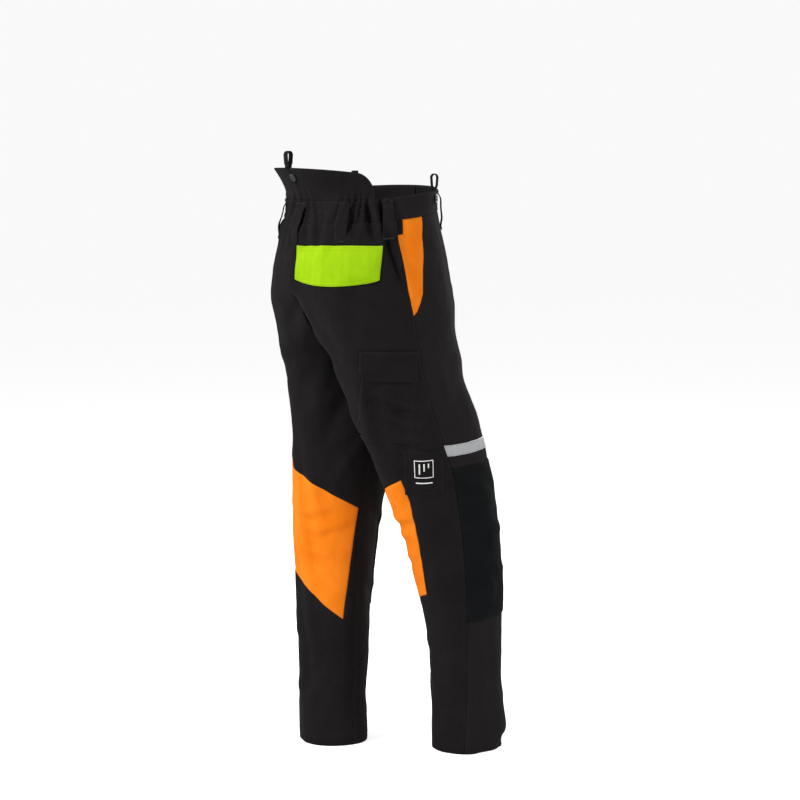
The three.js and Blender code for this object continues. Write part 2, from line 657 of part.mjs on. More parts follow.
/** Standing loops for braces, each with a tack button below it on the outside. */
function addBraceFittings() {
  for (const [place, bearing] of Object.entries(BRACE_BEARINGS)) {
    const atBack = place === 'back';
    const top = atBack ? highBackTop(bearing) : WAIST.bandHeight;
    const loop = strap(...braceLoopOutline());
    loop.translate(0, 0, 3 * GAP);
    add(`brace_loop_${place}`, loop, WEBBING, waistFrame(bearing, top));

    const button = tackButton(BRACE_BUTTON);
    const lean = atBack ? Math.atan2(HIGH_BACK.flare * 1.2, HIGH_BACK.height) : 0;
    button.translate(0, 2 * GAP, 0);
    button.rotateX(-lean);
    const seat = waistFrame(bearing, top - BRACE_BUTTON.below);
    add(`brace_button_${place}`, button, DARK_METAL, seat);
  }
}

/** Side view of a standing loop, outward and up from its foot, with its width. */
function braceLoopOutline() {
  const { width, thickness, height, depth } = BRACE_LOOP;
  const rim = (half, foot, turn) => {
    const arc = [...Array(7).keys()].map((step) => {
      const angle = (Math.PI * step) / 6;
      return [half * Math.cos(angle), height - depth / 2 + half * Math.sin(angle)];
    });
    const side = [[-half, 8], [-half + 2, foot], [half - 2, foot], [half, 8]];
    return turn ? [...arc, ...side].reverse() : [...arc, ...side];
  };
  return [rim(depth / 2, 0, false), width, rim(depth / 2 - thickness, 3, true)];
}

/** Domed tack button on a short shank, its axis outward along +Y and its foot at the origin. */
function tackButton({ radius, height, shank }) {
  const profile = [
    [0, 0], [shank, 0], [shank, height * 0.4], [radius, height * 0.5], [radius * 0.85, height],
    [radius * 0.5, height], [radius * 0.4, height * 0.8], [0, height * 0.8],
  ];
  const points = profile.map(([out, up]) => new THREE.Vector2(out, up));
  return geometryOf(solid(new THREE.LatheGeometry(points, 14)));
}

// Fly and fastening ----------------------------------------------------------------------------

const waistButtonBearing = () => 180 - (WAIST_BUTTON.across / 160) * (180 / Math.PI);

/** Cylinder through the front of the band at the waist button. */
function throughBand(radius, stretch) {
  const geometry = new THREE.CylinderGeometry(radius, radius, 30, 12);
  geometry.scale(stretch, 1, 1);
  const centre = waistPoint(waistButtonBearing(), WAIST.bandHeight / 2, 0);
  return geometry.translate(centre.x, centre.y, centre.z);
}

function waistButtonhole() {
  return throughBand(WAIST_BUTTON.shank - 0.7, 3);
}

function waistButtonBore() {
  return throughBand(WAIST_BUTTON.shank - 1, 1);
}

/** Cylinder across the fly at the pull tab's axle, its length set by a half width. */
function pullCylinder(radius, halfWidth, height) {
  const geometry = new THREE.CylinderGeometry(radius, radius, 2 * halfWidth, 16);
  geometry.rotateZ(Math.PI / 2).translate(0, -ZIP_PULL.axleOut, 0);
  return geometry.rotateX(-FLY_TILT).translate(0, flyPoint(height), height);
}

function addZipTapes() {
  const { tapeHalfWidth, tapeOut, tapeThickness, tapeClear, chainHalfWidth, foot, top } = FLY;
  const length = (top - foot) / Math.cos(FLY_TILT) - 1;
  for (const [side, sign] of Object.entries(SIDES)) {
    const bar = (near, far, inner, outer, clear) => {
      const [low, high] = [sign * near, sign * far].sort((p, q) => p - q);
      return flyBox([low, inner], [high, outer], foot + clear, length - clear);
    };
    const tape = bar(6 * SEAM_HALF_GAP, tapeHalfWidth, tapeOut - tapeThickness, tapeOut, tapeClear);
    const chain = bar(SEAM_HALF_GAP, chainHalfWidth, tapeOut - 0.2, -2 * GAP, 1);
    add(`zip_tape_${side}`, joined(tape, chain), WEBBING);
  }
}

function addZipSlider() {
  const { sliderHeight, axleOut, axleRadius, knuckleRadius, knuckleHalf, cheek, tabHalf, tabLength } = ZIP_PULL;
  const sliderFoot = FLY.top - sliderHeight - 4;
  const axle = sliderFoot + sliderHeight - 4;
  const half = FLY.slot / 2 - 0.8;
  const face = axleOut - knuckleRadius - GAP;
  let slider = flyBox([-half, -GAP], [half, face], sliderFoot, sliderHeight);
  for (const sign of Object.values(SIDES)) {
    const inner = sign * (knuckleHalf + GAP);
    const [low, high] = [inner, inner + sign * cheek].sort((p, q) => p - q);
    slider = joined(slider, flyBox([low, face - GAP], [high, axleOut + 1.2], axle - 1.5, 3));
  }
  slider = joined(slider, pullCylinder(axleRadius, knuckleHalf + GAP + cheek / 2, axle));
  add('zip_slider', slider, STEEL);

  const [inner, outer] = [axleOut - 0.7, axleOut + 0.7];
  const tabTop = axle - 2.8;
  const tab = flyBox([-tabHalf, inner], [tabHalf, outer], tabTop - tabLength, tabLength);
  const neck = flyBox([-knuckleHalf, inner], [knuckleHalf, outer], tabTop - 1, 3.8);
  const knuckle = joined(joined(tab, neck), pullCylinder(knuckleRadius, knuckleHalf, axle));
  add('zip_pull', without(knuckle, pullCylinder(axleRadius + GAP, knuckleHalf + 1, axle)), STEEL);
}

function addWaistButton() {
  const frame = waistFrame(waistButtonBearing(), WAIST.bandHeight / 2);
  const { radius, height, shank } = WAIST_BUTTON;
  const head = tackButton({ radius, height, shank });
  head.translate(0, 2 * GAP, 0);
  const pin = new THREE.CylinderGeometry(shank - 1.3, shank - 1.3, 4, 12);
  pin.translate(0, -0.8, 0);
  add('waist_button', joined(head, pin), STEEL, frame);
}

for (const side of Object.keys(SIDES)) addHalf(side);
addBackPocket();
addThighPocket();
addLabelPatch();
addWaist();
addBeltLoops();
addBraceFittings();
addZipTapes();
addZipSlider();
addWaistButton();

export default garment;
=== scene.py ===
"""Chainsaw protective trousers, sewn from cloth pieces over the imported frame.

Every cloth piece lies on one loft, the garment's form, at a layer of its own: the distance out
from the outer shell's face. One drape gives the whole form its folds and gathers, so the
pieces stay together along their seams. Heights and widths of the pattern are in millimetres
and turn to metres where a mesh is made.
"""
import logging
import math
from collections.abc import Callable, Sequence
from dataclasses import dataclass, field, replace
from enum import Enum
from functools import partial

import bpy
import numpy as np
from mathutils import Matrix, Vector, kdtree, noise


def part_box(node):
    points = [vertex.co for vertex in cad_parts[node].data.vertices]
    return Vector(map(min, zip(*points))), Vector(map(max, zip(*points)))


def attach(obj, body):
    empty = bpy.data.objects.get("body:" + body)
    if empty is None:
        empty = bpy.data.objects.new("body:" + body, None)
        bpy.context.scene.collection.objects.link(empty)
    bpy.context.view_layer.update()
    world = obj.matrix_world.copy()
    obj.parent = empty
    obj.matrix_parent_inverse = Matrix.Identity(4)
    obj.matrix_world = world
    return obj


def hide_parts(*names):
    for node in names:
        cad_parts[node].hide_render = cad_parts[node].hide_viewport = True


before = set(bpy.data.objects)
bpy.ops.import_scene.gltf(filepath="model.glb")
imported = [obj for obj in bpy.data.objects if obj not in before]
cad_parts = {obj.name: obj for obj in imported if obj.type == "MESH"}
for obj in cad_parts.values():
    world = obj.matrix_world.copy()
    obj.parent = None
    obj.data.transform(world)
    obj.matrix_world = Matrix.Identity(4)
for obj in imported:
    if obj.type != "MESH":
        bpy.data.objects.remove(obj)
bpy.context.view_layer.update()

LOG = logging.getLogger("trousers")
MM = 0.001
FORM_BACK = 38.0  # the pelvis axis stands this far behind the frame's origin
WAIST_RADIUS = 145.0  # mean radius of the waist, which turns bearings to lengths of cloth
HIP_RADIUS = 150.0  # of the hip at the pocket mouth, and below it of the leg and of the calf
LEG_RADIUS = 95.0
CALF_RADIUS = 85.0
ELASTIC_HALF = 75.0  # degrees of bearing to either side that the elastic spans
ELASTIC_ROWS = (2, 13, 27, 40)  # rises of the stitched channels over the waist seam

Array = np.ndarray
Line = Sequence[tuple[float, float]]
Curve = Callable[[Array], Array]


class Side(Enum):
    """A half of the garment, valued by the sign of its x."""

    RIGHT = -1
    LEFT = 1

    @property
    def word(self) -> str:
        """The side's name as the frame spells it."""
        return self.name.lower()


# --- Form -------------------------------------------------------------------------------------


@dataclass(frozen=True)
class Section:
    """One level cut of a half: an ellipse with its own rear and front depths."""

    height: float
    centre_x: float
    centre_y: float
    half_width: float
    rear: float
    front: float


HIP = (
    Section(735, 97, -24, 90, 126, 122),
    Section(770, 92.3, -17, 92, 133, 127),
    Section(790, 88, -12, 98, 138, 132),
    Section(850, 45, -3, 138, 152, 152),
    Section(905, 14, 0, 169, 161, 154),
    Section(975, 0, 2, 173, 150, 144),
    Section(1045, 0, 0, 160, 130, 130),
    Section(1130, 0, 0, 160, 130, 130),
)
RIGHT_LEG = (
    Section(-10, 100, -178, 69, 69, 69),
    Section(90, 100, -176, 69, 69, 69),
    Section(180, 99, -171, 71, 71, 71),
    Section(270, 99, -164, 73, 76, 76),
    Section(364, 99, -150, 77, 88, 88),
    Section(457, 99, -128, 80, 99, 99),
    Section(567, 98, -92, 84, 116, 114),
    Section(665, 97, -50, 88, 124, 126),
)
LEFT_LEG = (
    Section(-10, 100, 2, 69, 69, 69),
    Section(90, 100, 2, 69, 69, 69),
    Section(180, 99, 1, 70, 70, 70),
    Section(270, 99, 0, 73, 71, 73),
    Section(364, 99, -2, 77, 74, 78),
    Section(457, 99, -6, 80, 84, 88),
    Section(567, 98, -17, 85, 98, 102),
    Section(665, 97, -28, 89, 112, 114),
)


def along(pairs: Line, position: Array | float) -> Array:
    """Read a straight-line table of (position, value) pairs.

    Args:
        pairs: the table, rising in position.
        position: where to read it.

    Returns:
        The value at each position.
    """
    table = np.array(pairs, float)
    return np.interp(position, table[:, 0], table[:, 1])


def straight(height: float) -> Curve:
    """A level line: the same height everywhere along it."""
    return lambda angle: height + 0 * angle


def upright(line: Line) -> Curve:
    """A cutting line of (height in mm, degrees) pairs, as radians by height."""
    return lambda height: np.radians(along(line, height))


def crosswise(line: Line) -> Curve:
    """A cutting line of (degrees, height in mm) pairs, as heights by radians."""
    return lambda angle: along(line, np.degrees(angle))


class Loft:
    """The smooth form of the garment, as stacked sections of each half."""

    SEAM_HEIGHT = 1027.0
    TILT_BACK = 0.118
    TILT_SIDE = 0.039
    SIDE_SEAM: Line = ((0, 42), (250, 30), (530, 9), (830, 5), (990, 13), (1130, 13))

    def __init__(self) -> None:
        """Prepare the section tables and their slopes."""
        self.tables: dict[Side, tuple[Array, Array]] = {}
        for side, leg in ((Side.RIGHT, RIGHT_LEG), (Side.LEFT, LEFT_LEG)):
            rows = np.array(
                [[s.height, s.centre_x, s.centre_y, s.half_width, s.rear, s.front] for s in leg + HIP]
            )
            self.tables[side] = (rows, self.slopes(rows))

    @staticmethod
    def slopes(rows: Array) -> Array:
        """Slope of each column at each section, level where the column turns back."""
        before = np.vstack([rows[:1], rows[:-1]])
        after = np.vstack([rows[1:], rows[-1:]])
        slope = (after - before) / (after[:, :1] - before[:, :1])
        return np.where((after - rows) * (rows - before) <= 0, 0.0, slope)

    def section(self, side: Side, height: Array) -> Array:
        """Read the sections by a cubic that never overshoots them.

        Args:
            side: the half.
            height: heights in mm.

        Returns:
            An array with centre_x, centre_y, half_width, rear and front in its last axis.
        """
        rows, slope = self.tables[side]
        upper = np.clip(np.searchsorted(rows[:, 0], height, side="right"), 1, len(rows) - 1)
        low, high = rows[upper - 1], rows[upper]
        span = (high[..., 0] - low[..., 0])[..., None]
        t = np.clip((np.asarray(height) - low[..., 0])[..., None] / span, 0, 1)
        start, end = slope[upper - 1] * span, slope[upper] * span
        value = low + (high - low) * t * t * (3 - 2 * t) + t * (1 - t) * ((1 - t) * start - t * end)
        return value[..., 1:]

    def point(self, side: Side, angle: Array, height: Array, layer: Array | float = 0.0) -> Array:
        """Point of the form in mm, with the pelvis axis at the origin."""
        cx, cy, half, rear, front = np.moveaxis(self.section(side, height), -1, 0)
        depth = np.where(np.sin(angle) > 0, rear, front) + layer
        x = side.value * (cx + (half + layer) * np.cos(angle))
        return np.stack([x, cy + depth * np.sin(angle), np.broadcast_to(height, x.shape)], -1)

    def normal(self, side: Side, angle: Array, height: Array) -> Array:
        """Outward unit normal of the form."""
        step = 0.01
        across = self.point(side, angle + step, height) - self.point(side, angle - step, height)
        up = self.point(side, angle, height + 2.0) - self.point(side, angle, height - 2.0)
        normal = np.cross(across, up) * side.value
        return normal / np.maximum(np.linalg.norm(normal, axis=-1, keepdims=True), 1e-9)

    def inner_angle(self, side: Side, height: Array, clear: Array | float = 0.15) -> Array:
        """Angle where a half ends: the centre plane, or the inseam below the crotch."""
        cx, _, half, _, _ = np.moveaxis(self.section(side, height), -1, 0)
        cosine = np.clip((clear - cx) / half, -1, 1)
        return np.minimum(np.pi - 0.15 / half, np.arccos(cosine))

    def waist_seam(self, side: Side, angle: Array) -> Array:
        """Height of the waist seam at an angle: it rises to the front and the left."""
        section = self.section(side, np.full(np.shape(angle), self.SEAM_HEIGHT))
        _, _, half, rear, front = np.moveaxis(section, -1, 0)
        y = np.where(np.sin(angle) > 0, rear, front) * np.sin(angle)
        return self.SEAM_HEIGHT - self.TILT_BACK * y + self.TILT_SIDE * side.value * half * np.cos(angle)

    def side_seam(self, height: Array) -> Array:
        """Angle of the outer side seam at a height."""
        return np.radians(along(self.SIDE_SEAM, height))


@dataclass(frozen=True)
class Fold:
    """One fold of the cloth along a line of (degrees behind the outer side, height)."""

    line: Line
    width: float
    rise: float
    trough: float = 0.6
    lean: float = 1.6


class Drape:
    """Folds, gathers and small wrinkles of the worn cloth, in mm out from the form."""

    BOTH = (
        Fold(((50, 700), (80, 738), (112, 764), (150, 772)), 15, -3.5, -0.3, 1.9),
        Fold(((120, 880), (140, 845), (160, 800)), 13, 2.0, 0.4),
        Fold(((-130, 900), (-145, 850), (-160, 800)), 12, 4.5, 0.5),
        Fold(((-100, 880), (-120, 830), (-150, 780)), 13, -4.5, 0.4),
        Fold(((-150, 690), (-110, 720), (-70, 735)), 13, 3.5),
        Fold(((150, 690), (110, 650), (75, 600)), 14, 1.8),
        Fold(((165, 640), (130, 600), (95, 560)), 12, -1.8),
        Fold(((60, 470), (100, 455), (150, 470)), 9, 4.2, 0.7),
        Fold(((80, 430), (120, 420), (165, 440)), 8, 3.4, 0.7),
        Fold(((70, 395), (110, 380), (150, 372)), 9, 3.0, 0.6),
        Fold(((-20, 455), (-55, 430), (-90, 440)), 10, 3.2, 0.5),
        Fold(((-150, 470), (-115, 440), (-85, 415)), 10, 3.0, 0.5),
        Fold(((5, 380), (-35, 350), (-70, 352)), 10, 2.8, 0.5),
        Fold(((-160, 330), (-120, 305), (-80, 300)), 11, 2.6),
        Fold(((50, 230), (90, 205), (140, 215)), 12, 3.0),
        Fold(((20, 130), (60, 105), (110, 118)), 12, 2.6),
        Fold(((-30, 120), (-75, 90), (-130, 100)), 12, 2.8),
        Fold(((150, 160), (120, 120), (95, 70)), 13, 2.8),
        Fold(((10, 250), (2, 160), (15, 60)), 12, 2.4),
        Fold(((-95, 240), (-90, 150), (-98, 40)), 15, 2.6),
    )
    RIGHT = (
        Fold(((27, 1062), (23, 1010), (16, 950), (9, 880)), 6.0, -9.0, -0.5, 1.9),
        Fold(((38, 1060), (32, 1010), (27, 978)), 6.0, -7.0, -0.8, 1.8),
        Fold(((50, 1025), (48, 992), (44, 972)), 6.0, 3.6, 0.9),
        Fold(((70, 905), (40, 880), (18, 850)), 12, 3.2, 0.5),
        Fold(((88, 890), (96, 820), (84, 760)), 22, -2.0, -0.4, 2.0),
        Fold(((62, 880), (70, 820), (92, 760)), 20, 1.8, 0.5, 2.0),
        Fold(((14, 668), (34, 676), (62, 700)), 7, 3.6, 0.9),
        Fold(((12, 640), (38, 652), (74, 684)), 7, -3.4, -0.9),
        Fold(((14, 606), (44, 612), (86, 640)), 8, 3.6, 0.8),
        Fold(((20, 585), (60, 575), (105, 590)), 10, -3.0, -0.5),
        Fold(((35, 400), (58, 370), (66, 330)), 10, 3.0, 0.5),
        Fold(((22, 470), (34, 430), (36, 380)), 9, -2.6, -0.5),
        Fold(((-5, 800), (-12, 720), (-4, 640)), 18, 3.0, 0.4, 1.8),
        Fold(((-30, 540), (-50, 500), (-42, 440)), 14, -2.8, -0.5),
        Fold(((-8, 360), (-20, 320), (-10, 262)), 10, 2.6, 0.6),
    )
    LEFT = (
        Fold(((27, 1052), (20, 985), (12, 930), (7, 872)), 6, -6.5, -0.75, 2.0),
        Fold(((38, 1050), (34, 990), (26, 940), (16, 880)), 7, 4.5, 0.9, 1.7),
        Fold(((110, 900), (104, 830), (118, 770)), 20, -4.0, -0.4, 2.0),
        Fold(((150, 760), (128, 700), (110, 640)), 16, 4.5, 0.5),
        Fold(((170, 720), (146, 660), (128, 590)), 15, -4.0, -0.5),
        Fold(((178, 600), (150, 540), (140, 480)), 12, 2.6, 0.5),
        Fold(((100, 260), (118, 200), (112, 130)), 13, 2.8, 0.5),
        Fold(((-20, 700), (-45, 640), (-40, 600)), 16, 3.0, 0.4),
    )

    def __init__(self, loft: Loft) -> None:
        """Keep the form that the folds lie on."""
        self.loft = loft
        self.relief: dict[Side, Array] = {}

    def settled(self, side: Side, angle: Array, height: Array) -> Array:
        """How far the settled toile stands out at a place."""
        if side not in self.relief:
            return 0 * angle
        grid = self.relief[side]
        rows, columns = grid.shape
        inner = self.loft.inner_angle(side, height)
        u = np.clip((angle + inner) / (2 * inner), 0, 1) * (columns - 1)
        v = np.clip((height - 1) / (self.loft.waist_seam(side, angle) - 1), 0, 1) * (rows - 1)
        left, low = np.minimum(u.astype(int), columns - 2), np.minimum(v.astype(int), rows - 2)
        u, v = self.ease(u - left), self.ease(v - low)
        near = grid[low, left] * (1 - u) + grid[low, left + 1] * u
        far = grid[low + 1, left] * (1 - u) + grid[low + 1, left + 1] * u
        return near * (1 - v) + far * v

    @staticmethod
    def ease(share: Array) -> Array:
        """A share between two points, half eased so that no crease shows at the points."""
        return 0.5 * share + 0.5 * share * share * (3 - 2 * share)

    def fold(self, fold: Fold, side: Side, angle: Array, height: Array) -> Array:
        """Height of one fold over the form."""
        line = np.array(fold.line, float)
        middle = line[len(line) // 2]
        section = self.loft.section(side, np.array([middle[1]]))[0]
        radius = 0.5 * (section[2] + section[3 if middle[0] > 0 else 4])
        place = np.stack([angle * radius, height], -1)
        nodes = np.stack([np.radians(line[:, 0]) * radius, line[:, 1]], -1)
        lengths = np.linalg.norm(np.diff(nodes, axis=0), axis=1)
        total, passed = lengths.sum(), 0.0
        best = np.full(angle.shape, np.inf)
        signed, share = np.zeros(angle.shape), np.zeros(angle.shape)
        for start, step, length in zip(nodes, np.diff(nodes, axis=0), lengths):
            way = step / length
            at = np.clip((place - start) @ way, 0, length)
            apart = place - start - at[..., None] * way
            distance = np.linalg.norm(apart, axis=-1)
            turn = apart[..., 0] * way[1] - apart[..., 1] * way[0]
            closer = distance < best
            best = np.where(closer, distance, best)
            signed = np.where(closer, np.sign(turn) * distance, signed)
            share = np.where(closer, (passed + at) / total, share)
            passed += length
        taper = np.sin(np.pi * np.clip(share, 0.02, 0.98)) ** 0.7
        crest = np.exp(-((signed / fold.width) ** 2))
        beside = np.exp(-(((signed - fold.lean * fold.width) / (1.1 * fold.width)) ** 2))
        return taper * (fold.rise * crest - abs(fold.rise) * fold.trough * beside)

    def gathers(self, side: Side, angle: Array, height: Array) -> Array:
        """Pleats that the waist elastic draws into the back."""
        bearing = 90.0 - np.degrees(angle)
        reach = np.clip((ELASTIC_HALF + 6 - np.abs(bearing)) / 14, 0, 1)
        above = height - self.loft.waist_seam(side, angle)
        arc = side.value * np.radians(bearing) * WAIST_RADIUS
        lean = arc + above * (0.3 * np.sin(arc / 21.0) + 0.08)
        share = 0.55 + 0.45 * np.sin(arc / 13.0 + 1.1) * np.sin(arc / 31.0)
        fine = share * np.cos(lean / 1.5 + 2.3 * np.sin(arc / 11.0))
        medium = (1.3 - share) * np.cos(lean / 3.1 + 2.6 * np.sin(arc / 17.0) + 0.7)
        broad = np.cos(lean / 5.6 + 2.2 * np.sin(arc / 29.0) + 2.1)
        in_band = np.exp(-(((above - 20) / 26) ** 4))
        below = np.clip(-above / 14, 0, 1) * np.exp(-((above / 36) ** 2))
        over = np.clip((above - 36) / 10, 0, 1) * np.exp(-np.clip(above - 42, 0, None) / 16)
        wave = in_band * (0.8 * fine + 1.5 * medium + 1.0 * broad)
        wave = wave + below * (1.1 * medium + 3.6 * broad) + over * (0.5 * medium + 0.9 * broad)
        channels = sum(0.9 * np.exp(-(((above - at) / 1.3) ** 2)) for at in ELASTIC_ROWS)
        return reach * (wave - channels)

    def wrinkles(self, points: Array) -> Array:
        """Small uneven relief of worn cloth, the same on both sides of a seam."""
        flat = points.reshape(-1, 3)
        soft = [noise.noise(Vector((x * 0.011, y * 0.011, z * 0.0075))) for x, y, z in flat]
        drag = [noise.noise(Vector((x * 0.03 + z * 0.014, y * 0.03, z * 0.017 + 40))) for x, y, z in flat]
        fine = [noise.noise(Vector((x * 0.09, y * 0.09, z * 0.06 + 90))) for x, y, z in flat]
        relief = 2.4 * np.array(soft) + 1.8 * np.array(drag) + 0.6 * np.array(fine)
        return relief.reshape(points.shape[:-1])

    def offset(self, side: Side, angle: Array, height: Array) -> Array:
        """Everything the cloth does, in mm out from the form."""
        folds = self.BOTH + (self.RIGHT if side is Side.RIGHT else self.LEFT)
        total = sum(self.fold(fold, side, angle, height) for fold in folds)
        points = self.loft.point(side, angle, height)
        firm = along(((0, 0.55), (40, 1), (1000, 1), (1030, 0.35), (1090, 0.3), (1130, 0.5)), height)
        relief = self.wrinkles(points) * firm
        fly = np.exp(-((points[..., 0] / 26) ** 2)) * np.clip((height - 850) / 40, 0, 1)
        calm = np.where(points[..., 1] < 0, 1 - fly, 1.0)
        weight = along(((480, 0.75), (560, 1.0), (840, 1.0), (900, 1.5)), height)
        cloth = weight * total + 0.8 * relief + 2.6 * self.settled(side, angle, height)
        return cloth * calm + 1.45 * self.gathers(side, angle, height)


class Form:
    """Places cloth on the draped loft and turns it to metres in the frame."""

    FLARE = 34.0
    BAND = 42.0
    HIGH_BACK = 60.0

    def __init__(self) -> None:
        """Make the loft and its drape."""
        self.loft = Loft()
        self.drape = Drape(self.loft)

    def flare(self, side: Side, angle: Array, height: Array) -> Array:
        """How far the raised back leans out above the waistband."""
        above = height - self.loft.waist_seam(side, angle) - self.BAND
        return self.FLARE * np.clip(above / self.HIGH_BACK, 0, 2) ** 1.5 * np.maximum(0, np.sin(angle))

    def place(
        self, side: Side, angle: Array, height: Array, layer: Array | float,
        drape: Array | float = 1.0,
    ) -> Array:
        """Put points on the cloth.

        Args:
            side: the half.
            angle: radians, 0 at the outer side, positive to the rear.
            height: mm above the floor.
            layer: mm out from the shell's outer face.
            drape: how much of the folds the piece follows, from 0 to 1.

        Returns:
            Points in metres in the frame.
        """
        angle, height = np.broadcast_arrays(np.asarray(angle, float), np.asarray(height, float))
        out = layer + drape * self.drape.offset(side, angle, height) + self.flare(side, angle, height)
        points = self.loft.point(side, angle, height)
        points = points + self.loft.normal(side, angle, height) * out[..., None]
        clear = 0.2 - 0.05 * np.minimum(layer, 0) + 0 * height
        points[..., 0] = side.value * np.maximum(side.value * points[..., 0], clear)
        points[..., 1] += FORM_BACK
        return points * MM

    def around(
        self, bearing: Array, rise: Array, layer: Array | float, drape: Array | float = 1.0
    ) -> Array:
        """Put points on the waist ring by bearing (0 rear, 90 left) and rise over its seam."""
        bearing, rise = np.broadcast_arrays(np.asarray(bearing, float), np.asarray(rise, float))
        layer, drape = np.broadcast_to(layer, bearing.shape), np.broadcast_to(drape, bearing.shape)
        points = np.zeros(bearing.shape + (3,))
        wrapped = (bearing + 180) % 360 - 180
        for side in Side:
            mine = wrapped > 0 if side is Side.LEFT else wrapped <= 0
            angle = np.pi / 2 - side.value * np.radians(wrapped[mine])
            height = self.loft.waist_seam(side, angle) + rise[mine]
            points[mine] = self.place(side, angle, height, layer[mine], drape[mine])
        return points

    def waist_normal(self, bearing: float) -> Vector:
        """Level outward normal of the waist ring at a bearing."""
        turn, waist = math.radians(bearing), HIP[-1]
        depth = waist.rear if math.cos(turn) > 0 else waist.front
        return Vector((math.sin(turn) / waist.half_width, math.cos(turn) / depth, 0)).normalized()


# --- Materials --------------------------------------------------------------------------------


def linear(hex_colour: str) -> tuple[float, float, float, float]:
    """Turn an sRGB hex colour to the linear values that Blender uses."""
    parts = [int(hex_colour[i : i + 2], 16) / 255 for i in (0, 2, 4)]
    low, high = [p / 12.92 for p in parts], [((p + 0.055) / 1.055) ** 2.4 for p in parts]
    red, green, blue = (lo if p <= 0.04045 else hi for p, lo, hi in zip(parts, low, high))
    return red, green, blue, 1.0


def add_node(tree: bpy.types.NodeTree, kind: str, settings: dict, **links: object) -> bpy.types.Node:
    """Add a node with its settings and links.

    Args:
        tree: the material's tree.
        kind: the node's type name.
        settings: attributes of the node, and socket values under their socket names.
        links: socket name with spaces as underscores, to an output socket.

    Returns:
        The node.
    """
    node = tree.nodes.new(kind)
    for name, value in settings.items():
        if isinstance(name, str) and name not in node.inputs and hasattr(node, name):
            setattr(node, name, value)
        else:
            node.inputs[name].default_value = value
    for name, output in links.items():
        socket = node.inputs[int(name[1:])] if name[1:].isdigit() else node.inputs[name.replace("_", " ")]
        tree.links.new(output, socket)
    return node


@dataclass(frozen=True)
class Cloth:
    """Woven cloth: spun yarn in a regular weave, so it is rough with a faint sheen.

    thread is the pitch of the weave in mm. The real yarns of 0.4 mm are too fine to show, so
    the ribs are drawn as coarse as they need to be.
    """

    name: str
    colour: str
    worn: str
    slot: str
    thread: float = 1.7
    relief: float = 0.25
    roughness: float = 0.85
    sheen: float = 0.01
    mottle: float = 0.4
    diagonal: bool = True

    def make(self) -> bpy.types.Material:
        """Build the material."""
        material = bpy.data.materials.new(self.name)
        material.use_nodes = True
        tree = material.node_tree
        tree.nodes.clear()
        places = add_node(tree, "ShaderNodeTexCoord", {})
        body = places.outputs["Object"]
        weave_way = add_node(
            tree, "ShaderNodeMapping",
            {"Rotation": (0, 0, math.radians(52 if self.diagonal else 0))}, Vector=places.outputs["UV"],
        )
        period = 2 * math.pi / (20 * self.thread * MM)
        ribs = add_node(
            tree, "ShaderNodeTexWave", {"Scale": period, "Distortion": 0.6, "Detail": 1.0},
            Vector=weave_way.outputs[0],
        )
        picks = add_node(
            tree, "ShaderNodeTexWave",
            {"Scale": period * 0.8, "Distortion": 0.4, "bands_direction": "Y"},
            Vector=weave_way.outputs[0],
        )
        weave = add_node(
            tree, "ShaderNodeMath", {"operation": "MULTIPLY"},
            _0=ribs.outputs["Fac"], _1=picks.outputs["Fac"],
        )
        slubs = add_node(tree, "ShaderNodeTexNoise", {"Scale": 900.0, "Detail": 2.0}, Vector=body)
        patches = add_node(
            tree, "ShaderNodeTexNoise", {"Scale": 14.0, "Detail": 5.0, "Roughness": 0.62}, Vector=body
        )
        edge = add_node(tree, "ShaderNodeAttribute", {"attribute_name": "edge"})
        tone = add_node(
            tree, "ShaderNodeMapRange",
            {"From Min": 0.3, "From Max": 0.75, "To Min": 0.0, "To Max": self.mottle},
            Value=patches.outputs["Fac"],
        )
        lint = add_node(
            tree, "ShaderNodeMath", {"operation": "MULTIPLY", 1: 0.16}, _0=slubs.outputs["Fac"]
        )
        rubbed = add_node(
            tree, "ShaderNodeMath", {"operation": "MULTIPLY_ADD", 1: 0.25},
            _0=edge.outputs["Fac"], _2=lint.outputs[0],
        )
        wear = add_node(
            tree, "ShaderNodeMath", {"operation": "ADD", "use_clamp": True},
            _0=tone.outputs[0], _1=rubbed.outputs[0],
        )
        colour = add_node(
            tree, "ShaderNodeMix",
            {"data_type": "RGBA", 6: linear(self.colour), 7: linear(self.worn)}, _0=wear.outputs[0],
        )
        height = add_node(
            tree, "ShaderNodeMath", {"operation": "MULTIPLY_ADD", 1: 0.7},
            _0=weave.outputs[0], _2=slubs.outputs["Fac"],
        )
        bump = add_node(
            tree, "ShaderNodeBump", {"Strength": self.relief, "Distance": 0.0006},
            Height=height.outputs[0],
        )
        roughness = add_node(
            tree, "ShaderNodeMapRange",
            {"To Min": self.roughness + 0.06, "To Max": self.roughness - 0.06},
            Value=weave.outputs[0],
        )
        shader = add_node(
            tree, "ShaderNodeBsdfPrincipled",
            {"Sheen Weight": self.sheen, "Sheen Roughness": 0.5, "IOR": 1.45,
             "Specular IOR Level": 0.03},
            Base_Color=colour.outputs[2], Roughness=roughness.outputs[0], Normal=bump.outputs[0],
        )
        add_node(tree, "ShaderNodeOutputMaterial", {}, Surface=shader.outputs[0])
        return material


